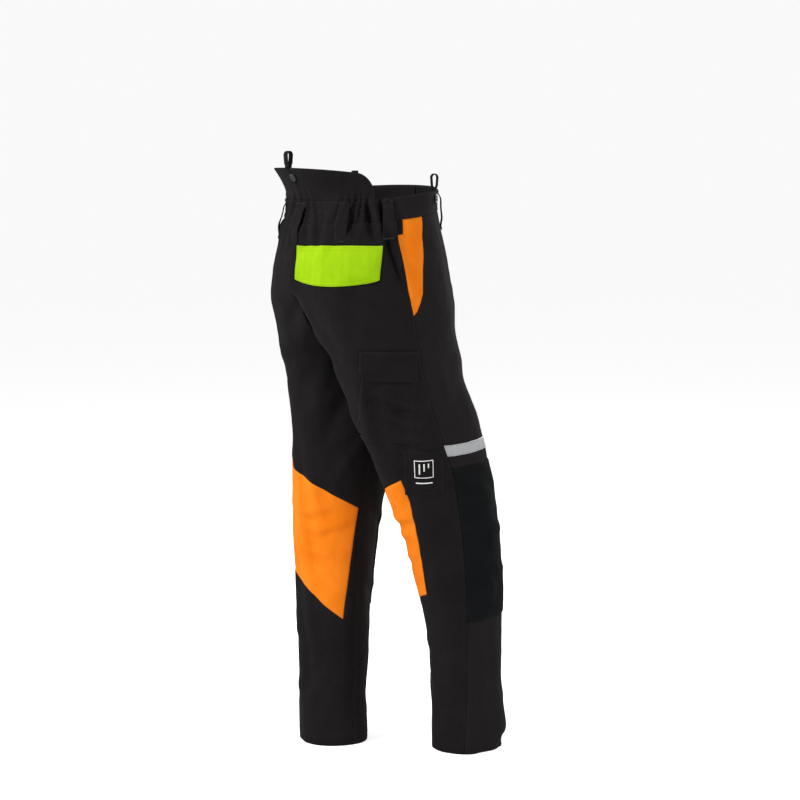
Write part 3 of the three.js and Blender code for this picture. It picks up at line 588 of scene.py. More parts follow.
@dataclass(frozen=True)
class Reflective:
    """Retroreflective tape: glass beads on silvered cloth, an even grey with a fine grain."""

    name: str = "glass_bead_reflective_tape"
    slot: str = "reflective_tape"

    def make(self) -> bpy.types.Material:
        """Build the material."""
        material = bpy.data.materials.new(self.name)
        material.use_nodes = True
        tree = material.node_tree
        tree.nodes.clear()
        places = add_node(tree, "ShaderNodeTexCoord", {})
        beads = add_node(
            tree, "ShaderNodeTexVoronoi", {"Scale": 1000 / 0.9}, Vector=places.outputs["Object"]
        )
        scuffs = add_node(
            tree, "ShaderNodeTexNoise", {"Scale": 90.0, "Detail": 4.0}, Vector=places.outputs["Object"]
        )
        colour = add_node(
            tree, "ShaderNodeMix",
            {"data_type": "RGBA", 6: linear("8C8E90"), 7: linear("A0A2A4")}, _0=scuffs.outputs["Fac"],
        )
        bump = add_node(
            tree, "ShaderNodeBump", {"Strength": 0.15, "Distance": 0.0003, "invert": True},
            Height=beads.outputs["Distance"],
        )
        roughness = add_node(
            tree, "ShaderNodeMapRange", {"To Min": 0.38, "To Max": 0.55}, Value=scuffs.outputs["Fac"]
        )
        shader = add_node(
            tree, "ShaderNodeBsdfPrincipled", {"Metallic": 0.15},
            Base_Color=colour.outputs[2], Roughness=roughness.outputs[0], Normal=bump.outputs[0],
        )
        add_node(tree, "ShaderNodeOutputMaterial", {}, Surface=shader.outputs[0])
        return material


@dataclass(frozen=True)
class Metal:
    """Plated metal: zinc alloy with a drawn, slightly rubbed finish."""

    name: str
    colour: str
    rubbed: str
    roughness: float
    slot: str

    def make(self) -> bpy.types.Material:
        """Build the material."""
        material = bpy.data.materials.new(self.name)
        material.use_nodes = True
        tree = material.node_tree
        tree.nodes.clear()
        places = add_node(tree, "ShaderNodeTexCoord", {})
        rubs = add_node(
            tree, "ShaderNodeTexNoise", {"Scale": 420.0, "Detail": 4.0}, Vector=places.outputs["Object"]
        )
        colour = add_node(
            tree, "ShaderNodeMix",
            {"data_type": "RGBA", 6: linear(self.colour), 7: linear(self.rubbed)},
            _0=rubs.outputs["Fac"],
        )
        roughness = add_node(
            tree, "ShaderNodeMapRange",
            {"To Min": self.roughness - 0.08, "To Max": self.roughness + 0.12},
            Value=rubs.outputs["Fac"],
        )
        bump = add_node(
            tree, "ShaderNodeBump", {"Strength": 0.1, "Distance": 0.0002}, Height=rubs.outputs["Fac"]
        )
        shader = add_node(
            tree, "ShaderNodeBsdfPrincipled", {"Metallic": 1.0},
            Base_Color=colour.outputs[2], Roughness=roughness.outputs[0], Normal=bump.outputs[0],
        )
        add_node(tree, "ShaderNodeOutputMaterial", {}, Surface=shader.outputs[0])
        return material


CHARCOAL = Cloth("charcoal_stretch_twill", "1B1819", "242122", "charcoal_cloth")
BLACK = Cloth("black_polyamide_twill", "151314", "211F20", "black_cloth")
KNEE = Cloth(
    "black_knee_canvas", "0E0F10", "191A1B", "knee_cloth", thread=2.4, relief=0.5, diagonal=False
)
ORANGE = Cloth("signal_orange_twill", "D66A0C", "E68426", "orange_cloth", mottle=0.55)
LIME = Cloth("signal_lime_twill", "7DA808", "9CC01A", "lime_cloth", mottle=0.55)
PACK = Cloth("filament_cut_protection", "CFCABD", "E0DCD0", "cut_protection_layers", thread=3.0)
LINING = Cloth("charcoal_mesh_lining", "26282B", "3A3D41", "lining_cloth", thread=2.6, relief=0.6)
WEBBING = Cloth(
    "black_webbing", "121213", "262627", "webbing", thread=1.3, relief=0.6, diagonal=False
)
HOOKS = Cloth("hook_and_loop_pile", "161618", "2A2A2D", "hook_and_loop", thread=1.0, relief=0.9)
THREAD = Cloth("black_sewing_thread", "2A2829", "3C393A", "webbing", thread=0.8)
LIME_THREAD = Cloth("lime_sewing_thread", "6FA008", "8CBC1C", "lime_cloth", thread=0.8)
WHITE_THREAD = Cloth("white_embroidery", "CFCFCC", "EDEDEA", "webbing", thread=0.9)
REFLECTIVE = Reflective()
STEEL = Metal("nickel_plated_zip_metal", "6A6C6F", "A5A7A9", 0.34, "steel")
DARK_METAL = Metal("gunmetal_tack_metal", "1E1F21", "4A4B4E", 0.36, "dark_metal")
Finish = Cloth | Reflective | Metal


class Wardrobe:
    """Makes each finish once and dresses objects in it."""

    def __init__(self) -> None:
        """Start with nothing made."""
        self.made: dict[str, bpy.types.Material] = {}

    def dress(self, piece: bpy.types.Object, finish: Finish) -> None:
        """Give a piece its finish."""
        if finish.name not in self.made:
            self.made[finish.name] = finish.make()
        piece.data.materials.clear()
        piece.data.materials.append(self.made[finish.name])


# --- Cloth meshes -----------------------------------------------------------------------------


@dataclass
class Patch:
    """A four-sided stretch of one half, between two angles and two heights.

    Each edge is a function: the angles of height, and the heights of angle.
    """

    left: Curve
    right: Curve
    foot: Curve
    top: Curve
    across: int
    up: int

    def grid(self) -> tuple[Array, Array]:
        """Angles and heights of the patch's points, by rows."""
        u, v = np.meshgrid(np.linspace(0, 1, self.across + 1), np.linspace(0, 1, self.up + 1))
        height = 500.0 + 0 * u
        angle = self.left(height) * (1 - u) + self.right(height) * u
        for _ in range(8):
            height = self.foot(angle) * (1 - v) + self.top(angle) * v
            angle = self.left(height) * (1 - u) + self.right(height) * u
        return angle, height


@dataclass
class Layers:
    """The inner and outer face of a cloth piece, in mm out from the shell's face."""

    inner: float
    outer: float
    crown: float = 0.0
    roll: float = 0.9


@dataclass(frozen=True)
class Outline:
    """A shape on a board: its width, and its lower and upper line as functions of across."""

    width: float
    foot: Curve
    top: Curve

    @staticmethod
    def bar(width: float, top: float, height: float) -> "Outline":
        """A plain rectangle."""
        return Outline(width, straight(top - height), straight(top))


@dataclass(frozen=True)
class Board:
    """An upright board facing a bearing, from which flat shapes are pressed onto the form."""

    side: Side
    bearing: float
    across: float
    out: float
    top: float
    shift: float = 0.0

    def angle(self, loft: Loft, across: Array, height: Array) -> Array:
        """Angle where the form lies straight behind a place on the board."""
        turn = math.radians(self.bearing)
        right = np.array([-math.cos(turn), math.sin(turn)])
        angle = np.full(across.shape, math.pi / 2 - self.side.value * turn)

        def miss(trial: Array) -> Array:
            """How far sideways the form lies from the place, in mm."""
            point = loft.point(self.side, trial, height)[..., :2] - (self.across, self.out)
            return point @ right - across

        for _ in range(14):
            slope = (miss(angle + 1e-4) - miss(angle - 1e-4)) / 2e-4
            angle = angle - np.clip(miss(angle) / slope, -0.3, 0.3)
        return angle

    def grid(self, loft: Loft, outline: Outline, spacing: float) -> tuple[Array, Array, Array]:
        """Angles, heights and flat places of a shape's points, by rows from its foot."""
        middle = np.zeros(1)
        tall = float((outline.top(middle) - outline.foot(middle))[0])
        columns = max(4, round(outline.width / spacing))
        rows = max(3, round(tall / spacing))
        across = np.linspace(-0.5, 0.5, columns + 1) * outline.width
        u, v = np.meshgrid(across, np.linspace(0, 1, rows + 1))
        up = outline.foot(u) * (1 - v) + outline.top(u) * v
        height = self.top + up
        return self.angle(loft, u + self.shift, height), height, np.stack([u, up], -1)


class Tailor:
    """Cuts cloth pieces and stitches on the form and hands them to the frame.

    A piece swells, rolls down and wears within these reaches of its cut edge, in mm.
    """

    CROWN_REACH = 9.0
    ROLL_REACH = 1.8
    WEAR_REACH = 2.2
    STITCH_SHARE = 0.72  # of the pitch: the rest of it runs under the cloth
    LIFT = 0.15

    def __init__(self, form: Form, wardrobe: Wardrobe) -> None:
        """Keep the form and the finishes."""
        self.form = form
        self.wardrobe = wardrobe

    def finish_mesh(
        self, name: str, points: Array, faces: list, finish: Finish, body: str,
        replaced: Sequence[str] = (), uv: Array | None = None, edge: Array | None = None,
    ) -> bpy.types.Object:
        """Make an object from points and faces, dress it and let it ride.

        Args:
            name: the piece's name.
            points: vertices in metres.
            faces: vertex numbers of each face.
            finish: what it is made of.
            body: the frame's body that it rides on.
            replaced: the nodes that it stands for.
            uv: where each vertex lies on the flat cloth, in metres.
            edge: how close each vertex is to a seam, from 0 to 1.

        Returns:
            The object.
        """
        mesh = bpy.data.meshes.new(name)
        mesh.from_pydata([tuple(p) for p in np.asarray(points, float)], [], faces)
        mesh.validate()
        corner = np.zeros(len(mesh.loops), int)
        mesh.loops.foreach_get("vertex_index", corner)
        flat = points[:, :2] if uv is None else uv
        layer = mesh.uv_layers.new(name="cloth")
        layer.data.foreach_set("uv", np.asarray(flat, float)[corner].ravel())
        near = mesh.attributes.new("edge", "FLOAT", "POINT")
        near.data.foreach_set("value", np.zeros(len(points)) if edge is None else edge)
        mesh.shade_smooth()
        piece = bpy.data.objects.new(name, mesh)
        bpy.context.scene.collection.objects.link(piece)
        self.wardrobe.dress(piece, finish)
        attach(piece, body)
        if replaced:
            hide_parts(*replaced)
        LOG.info("%s: %d faces on %s", name, len(mesh.polygons), body)
        return piece

    def cut(
        self, name: str, side: Side, patches: Sequence[Patch], layers: Layers, finish: Finish,
        body: str = "garment", replaced: Sequence[str] = (),
    ) -> bpy.types.Object:
        """Cut one cloth piece from patches of a half that share their edges."""
        params, quads, start = [], [], 0
        for patch in patches:
            angle, height = patch.grid()
            params.append(np.stack([angle.ravel(), height.ravel()], -1))
            quads.append(self.quads(*angle.shape) + start)
            start += angle.size
        flat, keys = np.concatenate(params), np.concatenate(quads)
        rounded = np.round(flat * np.array([4000.0, 30.0])).astype(int)
        _, first, same = np.unique(rounded, axis=0, return_index=True, return_inverse=True)
        flat = flat[first]
        lay = partial(self.form.place, side, flat[:, 0], flat[:, 1])
        radius = self.form.loft.section(side, flat[:, 1])[:, 2]
        cloth = np.stack([flat[:, 0] * radius, flat[:, 1]], -1) * MM
        keys = same.ravel()[keys]
        keys = keys[:, ::-1] if side is Side.RIGHT else keys
        return self.slab(name, lay, keys, cloth, layers, finish, body, replaced)

    def wrap(
        self, name: str, bearing: Array, rise: Array, layers: Layers, finish: Finish,
        body: str = "garment", replaced: Sequence[str] = (),
        bow: Array | float = 0.0, drape: Array | float = 1.0,
    ) -> bpy.types.Object:
        """Cut a piece of the waist from a grid of bearings and rises.

        Args:
            name: the piece's name.
            bearing: degrees, 0 at the rear and 90 at the left, by rows.
            rise: mm over the waist seam, by rows.
            layers: its faces.
            finish: what it is made of.
            body: the body that it rides on.
            replaced: the nodes that it stands for.
            bow: mm that the piece stands clear of the cloth, by point.
            drape: how much of the folds it follows, by point.

        Returns:
            The object.
        """
        bow = np.broadcast_to(bow, rise.shape).ravel()
        drape = np.broadcast_to(drape, rise.shape).ravel()

        def lay(layer: Array) -> Array:
            """Put every point of the piece at a layer, clear of the cloth by its bow."""
            return self.form.around(bearing.ravel(), rise.ravel(), layer + bow, drape)

        cloth = np.stack([np.radians(bearing.ravel()) * WAIST_RADIUS, rise.ravel()], -1) * MM
        keys = self.quads(*bearing.shape)[:, ::-1]
        return self.slab(name, lay, keys, cloth, layers, finish, body, replaced)

    def apply(
        self, name: str, board: Board, outline: Outline, layers: Layers, finish: Finish,
        body: str = "garment", replaced: Sequence[str] = (), spacing: float = 3.0,
    ) -> bpy.types.Object:
        """Lay a flat shape, drawn on a board, onto the cloth behind the board."""
        angle, height, flat = board.grid(self.form.loft, outline, spacing)
        lay = partial(self.form.place, board.side, angle.ravel(), height.ravel())
        keys = self.quads(*angle.shape)
        return self.slab(name, lay, keys, flat.reshape(-1, 2) * MM, layers, finish, body, replaced)

    @staticmethod
    def quads(rows: int, columns: int) -> Array:
        """Vertex numbers of the squares of a grid."""
        number = np.arange(rows * columns).reshape(rows, columns)
        corners = [number[:-1, :-1], number[:-1, 1:], number[1:, 1:], number[1:, :-1]]
        return np.stack(corners, -1).reshape(-1, 4)

    def slab(
        self, name: str, lay: Callable[[Array], Array], quads: Array, cloth: Array, layers: Layers,
        finish: Finish, body: str, replaced: Sequence[str],
    ) -> bpy.types.Object:
        """Close a cloth piece between its inner and outer face, its cut edge rolled down."""
        faces = []
        for quad in quads.tolist():
            kept = [v for i, v in enumerate(quad) if v != quad[i - 1]]
            if len(set(kept)) == len(kept) > 2:
                faces.append(kept)
        rim = self.rim(faces)
        flat = np.zeros(len(cloth))
        near = self.nearness(lay(flat) / MM, rim)
        out = layers.outer + layers.crown * (1 - np.exp(-near / self.CROWN_REACH))
        out = out - layers.roll * np.exp(-((near / self.ROLL_REACH) ** 2))
        outer, inner, count = lay(out), lay(flat + layers.inner), len(cloth)
        closed = faces + [[v + count for v in reversed(face)] for face in faces]
        closed += [[b, a, a + count, b + count] for a, b in rim]
        edge = np.exp(-near / self.WEAR_REACH)
        return self.finish_mesh(
            name, np.vstack([outer, inner]), closed, finish, body, replaced,
            np.vstack([cloth, cloth]), np.concatenate([edge, edge]),
        )

    @staticmethod
    def rim(faces: list[list[int]]) -> list[tuple[int, int]]:
        """Directed edges that only one face has."""
        ways = {(face[i - 1], v) for face in faces for i, v in enumerate(face)}
        return [way for way in ways if way[::-1] not in ways]

    @staticmethod
    def nearness(points: Array, rim: list[tuple[int, int]]) -> Array:
        """Distance of each point from the piece's cut edge, in mm."""
        tree = kdtree.KDTree(3 * len(rim))
        for number, (a, b) in enumerate(rim):
            for step in range(3):
                tree.insert(points[a] + (points[b] - points[a]) * step / 3, 3 * number + step)
        tree.balance()
        return np.array([tree.find(p)[2] for p in points])

    def stitch(
        self, name: str, path: Callable[[float], Array], normal: Array, finish: Finish,
        body: str = "garment", pitch: float = 4.0, thick: float = 0.55,
    ) -> bpy.types.Object:
        """Sew a row of stitches along a line.

        Args:
            name: the piece's name.
            path: gives the line's points in metres at a lift in mm over the cloth.
            normal: outward direction at each point, or one for all.
            finish: the thread.
            body: the body that it rides on.
            pitch: mm from stitch to stitch.
            thick: the thread's thickness in mm.

        Returns:
            The object.
        """
        line = path(self.LIFT)
        steps = np.linalg.norm(np.diff(line, axis=0), axis=1)
        passed = np.concatenate([[0], np.cumsum(steps)])
        count = max(2, int(passed[-1] / (pitch * MM)))
        starts = (np.arange(count) + 0.15) * passed[-1] / count
        spots = np.stack([starts, starts + self.STITCH_SHARE * passed[-1] / count], -1)
        ends = np.stack([np.interp(spots, passed, line[:, k]) for k in range(3)], -1)
        out = np.broadcast_to(normal, line.shape)
        out = np.stack([np.interp(starts, passed, out[:, k]) for k in range(3)], -1)
        way = ends[:, 1] - ends[:, 0]
        across = np.cross(way, out)
        across /= np.maximum(np.linalg.norm(across, axis=1, keepdims=True), 1e-9)
        half, middle = thick / 2 * MM, ends.mean(1)
        rings = [ends[:, 0], middle + across * half, middle + out * half, middle - across * half,
                 middle - out * half, ends[:, 1]]
        points = np.stack(rings, 1).reshape(-1, 3)
        shape = ((0, 1, 2), (0, 2, 3), (0, 3, 4), (0, 4, 1), (5, 2, 1), (5, 3, 2), (5, 4, 3), (5, 1, 4))
        faces = [[6 * k + v for v in face] for k in range(count) for face in shape]
        return self.finish_mesh(name, points, faces, finish, body)

    def seam(
        self, name: str, side: Side, angle: Array, height: Array, layer: float, finish: Finish,
        pitch: float = 4.0,
    ) -> None:
        """Sew stitches along angles and heights of a half."""
        normal = self.form.loft.normal(side, angle, height)
        self.stitch(name, partial(self.lifted, side, angle, height, layer), normal, finish, pitch=pitch)

    def lifted(self, side: Side, angle: Array, height: Array, layer: float, lift: float) -> Array:
        """Points of a line on a half, lifted over a layer."""
        return self.form.place(side, angle, height, layer + lift)

    def board_seam(
        self, name: str, board: Board, corners: Line, layer: float, finish: Finish, body: str,
        pitch: float = 3.5,
    ) -> None:
        """Sew stitches along the corners of a line drawn on a board."""
        places = np.array(corners, float)
        passed = np.concatenate([[0], np.cumsum(np.linalg.norm(np.diff(places, axis=0), axis=1))])
        even = np.linspace(0, passed[-1], max(8, int(passed[-1] / 3)))
        u, v = (np.interp(even, passed, places[:, k]) for k in (0, 1))
        height = board.top + v
        angle = board.angle(self.form.loft, u + board.shift, height)
        path = partial(self.lifted, board.side, angle, height, layer)
        normal = self.form.loft.normal(board.side, angle, height)
        self.stitch(name, path, normal, finish, body, pitch)

    def waist_seam(
        self, name: str, bearing: Array, rise: Array, layer: float, pitch: float = 4.0
    ) -> None:
        """Sew stitches round the waist."""

        def path(lift: float) -> Array:
            """Points of the line, lifted over its layer."""
            return self.form.around(bearing, rise, layer + lift)

        turn = np.radians(bearing)
        normal = np.stack([np.sin(turn), np.cos(turn), 0 * turn], -1)
        self.stitch(name, path, normal, THREAD, pitch=pitch)


# --- Toile -----------------------------------------------------------------------------------

@dataclass
class Toile:
    """One cloth over both legs and the seat, let down over firm legs until it settles.

    It is cut a little longer and wider than the form, so gravity and the slack make the folds.
    What it moves out from the form, less its slow swell, becomes the relief that every piece
    follows. Lengths are in mm, crease and swell in places of the grid.
    """

    loft: Loft
    columns: int = 72
    rows: int = 140
    slack: float = 0.022
    frames: int = 30
    body_gap: float = 7.0
    hem: float = 1.0
    join: float = 1.6
    crease: int = 3
    swell: int = 11
    most: float = 3.2

    def params(self, side: Side) -> tuple[Array, Array]:
        """Angles and heights of the toile's points on one half."""
        inner, waist = partial(self.loft.inner_angle, side), partial(self.loft.waist_seam, side)
        patch = Patch(
            lambda height: -inner(height), inner, straight(self.hem), waist, self.columns, self.rows
        )
        return patch.grid()

    def sheet(self, layer: Array | float) -> tuple[Array, list, Array]:
        """Points, faces and waist pins of both halves, joined at the centre and the inseams."""
        points, faces, rims, pins, start = [], [], [], [], 0
        for side in Side:
            angle, height = self.params(side)
            points.append(self.loft.point(side, angle, height, layer).reshape(-1, 3) * MM)
            quads = Tailor.quads(*angle.shape) + start
            faces += (quads[:, ::-1] if side is Side.RIGHT else quads).tolist()
            number = start + np.arange(angle.size).reshape(angle.shape)
            rims += [number[:, 0], number[:, -1]]
            pins.append(number[-3:].ravel())
            start += angle.size
        flat = np.concatenate(points)
        edge = np.concatenate(rims)
        tree = kdtree.KDTree(len(edge))
        for vertex in edge:
            tree.insert(flat[vertex], int(vertex))
        tree.balance()
        same = np.arange(len(flat))
        for vertex in np.sort(edge):
            near = min(found[1] for found in tree.find_range(flat[vertex], self.join * MM))
            same[vertex] = min(same[near], near)
        return flat, [[int(same[v]) for v in face] for face in faces], np.concatenate(pins)

    def settle(self) -> dict[Side, Array]:
        """Let the toile down and measure how far it stands out, by side and grid place."""
        scene = bpy.context.scene
        flat, faces, pins = self.sheet(0.0)
        cloth = self.thing("toile", flat, faces)
        body_points, body_faces, _ = self.sheet(-self.body_gap)
        body = self.thing("firm_legs", body_points, body_faces)
        body.modifiers.new("firm", "COLLISION")
        body.collision.thickness_outer = 0.001
        group = cloth.vertex_groups.new(name="sewn")
        group.add([int(v) for v in np.unique(pins)], 1.0, "REPLACE")
        soft = cloth.modifiers.new("drape", "CLOTH")
        soft.settings.vertex_group_mass = "sewn"
        soft.settings.shrink_min = -self.slack
        soft.settings.quality = 5
        soft.settings.mass = 0.35
        soft.settings.tension_stiffness = soft.settings.compression_stiffness = 30
        soft.settings.shear_stiffness = 12
        soft.settings.bending_stiffness = 1.2
        soft.settings.air_damping = 3
        soft.collision_settings.distance_min = 0.0015
        soft.collision_settings.use_self_collision = False
        soft.point_cache.frame_end = self.frames
        for number in range(1, self.frames + 1):
            scene.frame_set(number)
        graph = bpy.context.evaluated_depsgraph_get()
        settled = cloth.evaluated_get(graph).to_mesh()
        ends = np.zeros(len(settled.vertices) * 3)
        settled.vertices.foreach_get("co", ends)
        moved = (ends.reshape(-1, 3) - flat) / MM
        scene.frame_set(1)
        for thing in (cloth, body):
            bpy.data.objects.remove(thing, do_unlink=True)
        relief, start = {}, 0
        for side in Side:
            angle, height = self.params(side)
            part = moved[start : start + angle.size].reshape(*angle.shape, 3)
            out = (part * self.loft.normal(side, angle, height)).sum(-1)
            out[:, 0], out[:, -1] = out[:, 1], out[:, -2]
            wrinkle = self.blurred(out, self.crease) - self.blurred(out, self.swell)
            relief[side] = self.most * np.tanh(wrinkle / self.most)
            start += angle.size
        LOG.info("toile: %.1f to %.1f mm off the form", moved.min(), moved.max())
        return relief

    @staticmethod
    def blurred(out: Array, width: int) -> Array:
        """A relief evened out over a width of grid places."""
        reach = width // 2
        for axis in (0, 1, 0, 1):
            spare = np.pad(out, [(reach, reach) if a == axis else (0, 0) for a in (0, 1)], mode="edge")
            steps = [np.take(spare, range(k, k + out.shape[axis]), axis) for k in range(width)]
            out = sum(steps) / width
        return out

    @staticmethod
    def thing(name: str, points: Array, faces: list) -> bpy.types.Object:
        """Put a mesh into the scene."""
        mesh = bpy.data.meshes.new(name)
        clean = []
        for face in faces:
            kept = [v for i, v in enumerate(face) if v != face[i - 1]]
            if len(set(kept)) == len(kept) > 2:
                clean.append(kept)
        mesh.from_pydata(points.tolist(), [], clean)
        item = bpy.data.objects.new(name, mesh)
        bpy.context.scene.collection.objects.link(item)
        return item


# --- Garment ----------------------------------------------------------------------------------

SHELL = Layers(-1.2, 0.0, roll=0.7)  # the shell's outer face is the zero of all layers
FRONT_RISE = 10.0


@dataclass
class Half:
    """One half of the garment: its leg, its share of the seat and everything sewn to them."""

    side: Side
    tailor: Tailor
    calf_outer: dict[Side, Line] = field(default_factory=lambda: {
        Side.RIGHT: ((308, 82), (493, 68)), Side.LEFT: ((341, 52), (558, 50)),
    })
    calf_inner: Line = ((249, 160), (465, 178))
    calf_foot: dict[Side, Line] = field(default_factory=lambda: {
        Side.RIGHT: ((78, 311), (100, 302), (125, 281), (160, 249), (183, 249)),
        Side.LEFT: ((50, 345), (100, 308), (126, 278), (160, 249), (183, 249)),
    })
    calf_top: dict[Side, Line] = field(default_factory=lambda: {
        Side.RIGHT: ((50, 545), (125, 504), (178, 465)), Side.LEFT: ((50, 562), (178, 465)),
    })
    mouth: Line = ((843, 5.0), (849, 2.3), (883, -4.5), (950, -8.5), (1027, -10.9), (1060, -11.5))
    facing: Line = ((831, 4.0), (841, -2.0), (883, -9.7), (950, -14.2), (1060, -17.5))
    facing_foot: float = 833.0
    stay_depth: float = 27.0
    stay_width: float = 4.2
    fly_foot: float = 884.0
    fly_room: float = 5.0
    knee: tuple[float, float] = (255.0, 556.0)
    knee_bar: float = 440.0
    tape: tuple[float, float] = (578.0, 599.0)
    reach: float = 0.7
    pack: tuple[float, float] = (60.0, 960.0)
    lining: tuple[float, float] = (26.0, 966.0)
    bag: tuple[float, float] = (806.0, 1000.0)
    hem: tuple[float, float] = (0.5, 25.0)
    row_insets: tuple[float, float] = (3.0, 8.0)

    def named(self, piece: str) -> str:
        """A piece's name with its side."""
        return f"{piece}_{self.side.word}"

    def outer(self, height: Array) -> Array:
        """Angle of the side seam."""
        return self.tailor.form.loft.side_seam(height)

    def inner(self, height: Array) -> Array:
        """Angle of the inseam or the centre back."""
        return self.tailor.form.loft.inner_angle(self.side, height)

    def front_edge(self, height: Array) -> Array:
        """Angle of the centre front, held back where the zip shows."""
        clear = 0.15 + (self.fly_room - 0.15) * np.clip((height - self.fly_foot) / 4, 0, 1)
        return -self.tailor.form.loft.inner_angle(self.side, height, clear)

    def mouth_edge(self, height: Array) -> Array:
        """Angle of the front panel's outer edge: the side seam, then the slanted pocket mouth."""
        mouth, outer = np.radians(along(self.mouth, height)), self.outer(height)
        return np.where(height > self.mouth[0][0], np.minimum(mouth, outer), outer)

    def waist(self, angle: Array) -> Array:
        """Height of the waist seam."""
        return self.tailor.form.loft.waist_seam(self.side, angle)

    def slanted(self, height: float) -> Curve:
        """A line that rises from the side seam toward the front."""
        return lambda angle: height + FRONT_RISE * np.maximum(0, -np.sin(angle))

    def calf_inner_edge(self, height: Array) -> Array:
        """Angle of the calf insert's inner edge, which ends at the inseam."""
        return np.minimum(np.radians(along(self.calf_inner, height)), self.inner(height))

    def stay_edge(self, height: Array) -> Array:
        """Angle of the pocket stay's front edge."""
        return self.outer(height) - np.radians(self.stay_width)

    def stay_foot(self, angle: Array) -> Array:
        """Height of the pocket stay's foot."""
        return self.waist(angle) - self.stay_depth

    def padding_edge(self, height: Array) -> Array:
        """Angle where the knee patch and the tape end, short of the inseam."""
        return -self.inner(height) * self.reach + (1 - self.reach) * self.outer(height)

    def fly_stop(self, height: Array) -> Array:
        """Angle where the inner layers stop, well clear of the zip above the crotch."""
        clear = 0.15 + 30 * np.clip((height - 860) / 12, 0, 1)
        return -self.tailor.form.loft.inner_angle(self.side, height, clear)

    def pack_inner_edge(self, height: Array) -> Array:
        """Angle of the cut protection's inner edge."""
        return np.maximum(-self.inner(height) * 0.88, self.fly_stop(height))

    def pack_outer_edge(self, height: Array) -> Array:
        """Angle of the cut protection's outer edge, forward of the side pocket above it."""
        return np.where(height < 800, self.outer(height), np.radians(-46.0))

    def lining_edge(self, height: Array) -> Array:
        """Angle of the lining's inner edge."""
        return np.maximum(-self.inner(height), self.fly_stop(height))

    def build(self) -> None:
        """Sew the half together."""
        self.back()
        self.front()
        self.knee_and_tape()
        self.inside()
        self.seams()

    def back(self) -> None:
        """Cut the back panel with its window and the calf insert that fills it."""
        outer, middle = upright(self.calf_outer[self.side]), self.calf_inner_edge
        foot, top = crosswise(self.calf_foot[self.side]), crosswise(self.calf_top[self.side])
        columns = ((self.outer, outer, 26), (outer, middle, 58), (middle, self.inner, 6))
        levels = ((straight(0.0), foot, 72), (foot, top, 66), (top, self.waist, 130))
        grid = [[Patch(*c[:2], *lv[:2], c[2], lv[2]) for lv in levels] for c in columns]
        insert = grid[1].pop(1)
        panel = [patch for column in grid for patch in column]
        cut = self.tailor.cut
        cut(self.named("back_panel"), self.side, panel, Layers(-1.2, 0.5, roll=0.6), BLACK,
            replaced=[self.named("back_panel")])
        cut(self.named("calf_insert"), self.side, [insert], Layers(-1.2, 0.2, roll=0.9), ORANGE,
            replaced=[self.named("calf_insert")])
        edge = self.calf_outer[self.side]
        heights = np.linspace(edge[0][0] + 4, edge[1][0] - 4, 90)
        edges = [(outer(heights), heights)]
        angles = np.radians(np.linspace(edge[0][1] + 2, 174, 90))
        edges += [(angles, top(angles)), (angles, foot(angles))]
        for number, (angle, height) in enumerate(edges):
            for row, inset in enumerate(self.row_insets):
                turn = inset / CALF_RADIUS if number == 0 else 0
                shift = (0, inset, -inset)[number]
                name = self.named(f"calf_stitch_{number}_{row}")
                self.tailor.seam(name, self.side, angle - turn, height + shift, 0.5, THREAD)

    def front(self) -> None:
        """Cut the front panel with its pocket mouth and fly opening."""
        panel = Patch(self.front_edge, self.mouth_edge, straight(0.0), self.waist, 72, 270)
        self.tailor.cut(self.named("front_panel"), self.side, [panel], SHELL, CHARCOAL,
                        replaced=[self.named("front_panel")])
        facing = Patch(
            upright(self.facing), self.outer, straight(self.facing_foot), self.waist, 20, 60
        )
        self.tailor.cut(self.named("side_pocket_facing"), self.side, [facing],
                        Layers(-2.7, -1.35, roll=0.2), ORANGE,
                        replaced=[self.named("side_pocket_facing")])
        stay = Patch(self.stay_edge, self.outer, self.stay_foot, self.waist, 6, 10)
        self.tailor.cut(self.named("pocket_stay"), self.side, [stay], Layers(-1.2, 0.5, roll=0.5), BLACK)

    def knee_and_tape(self) -> None:
        """Sew the padded knee patch and the reflective tape onto the front."""
        inner, outer = self.padding_edge, self.outer
        knee = Patch(inner, outer, self.slanted(self.knee[0]), self.slanted(self.knee[1]), 66, 88)
        patch = self.tailor.cut(
            self.named("knee_patch"), self.side, [knee], Layers(0.3, 1.5, crown=1.6, roll=1.0), KNEE,
            replaced=[self.named("knee_patch")],
        )
        tape = Patch(inner, outer, self.slanted(self.tape[0]), self.slanted(self.tape[1]), 72, 8)
        self.tailor.cut(self.named("reflective_tape"), self.side, [tape], Layers(0.1, 0.75, roll=0.3),
                        REFLECTIVE, replaced=[self.named("reflective_tape")])
        middle = np.array(400.0)
        angles = np.linspace(inner(middle) + 0.05, outer(middle) - 0.05, 160)
        lines = (("knee_top", self.knee[1] - 4), ("knee_foot", self.knee[0] + 4),
                 ("knee_bar", self.knee_bar))
        for name, level in lines:
            lift = 1.6 if name != "knee_bar" else 3.0
            self.tailor.seam(self.named(f"{name}_stitch"), self.side, angles,
                             self.slanted(level)(angles), lift, THREAD)
        for name, level in (("low", self.tape[0] + 2.2), ("high", self.tape[1] - 2.2)):
            self.tailor.seam(self.named(f"tape_stitch_{name}"), self.side, angles,
                             self.slanted(level)(angles), 0.8, THREAD, 3.0)

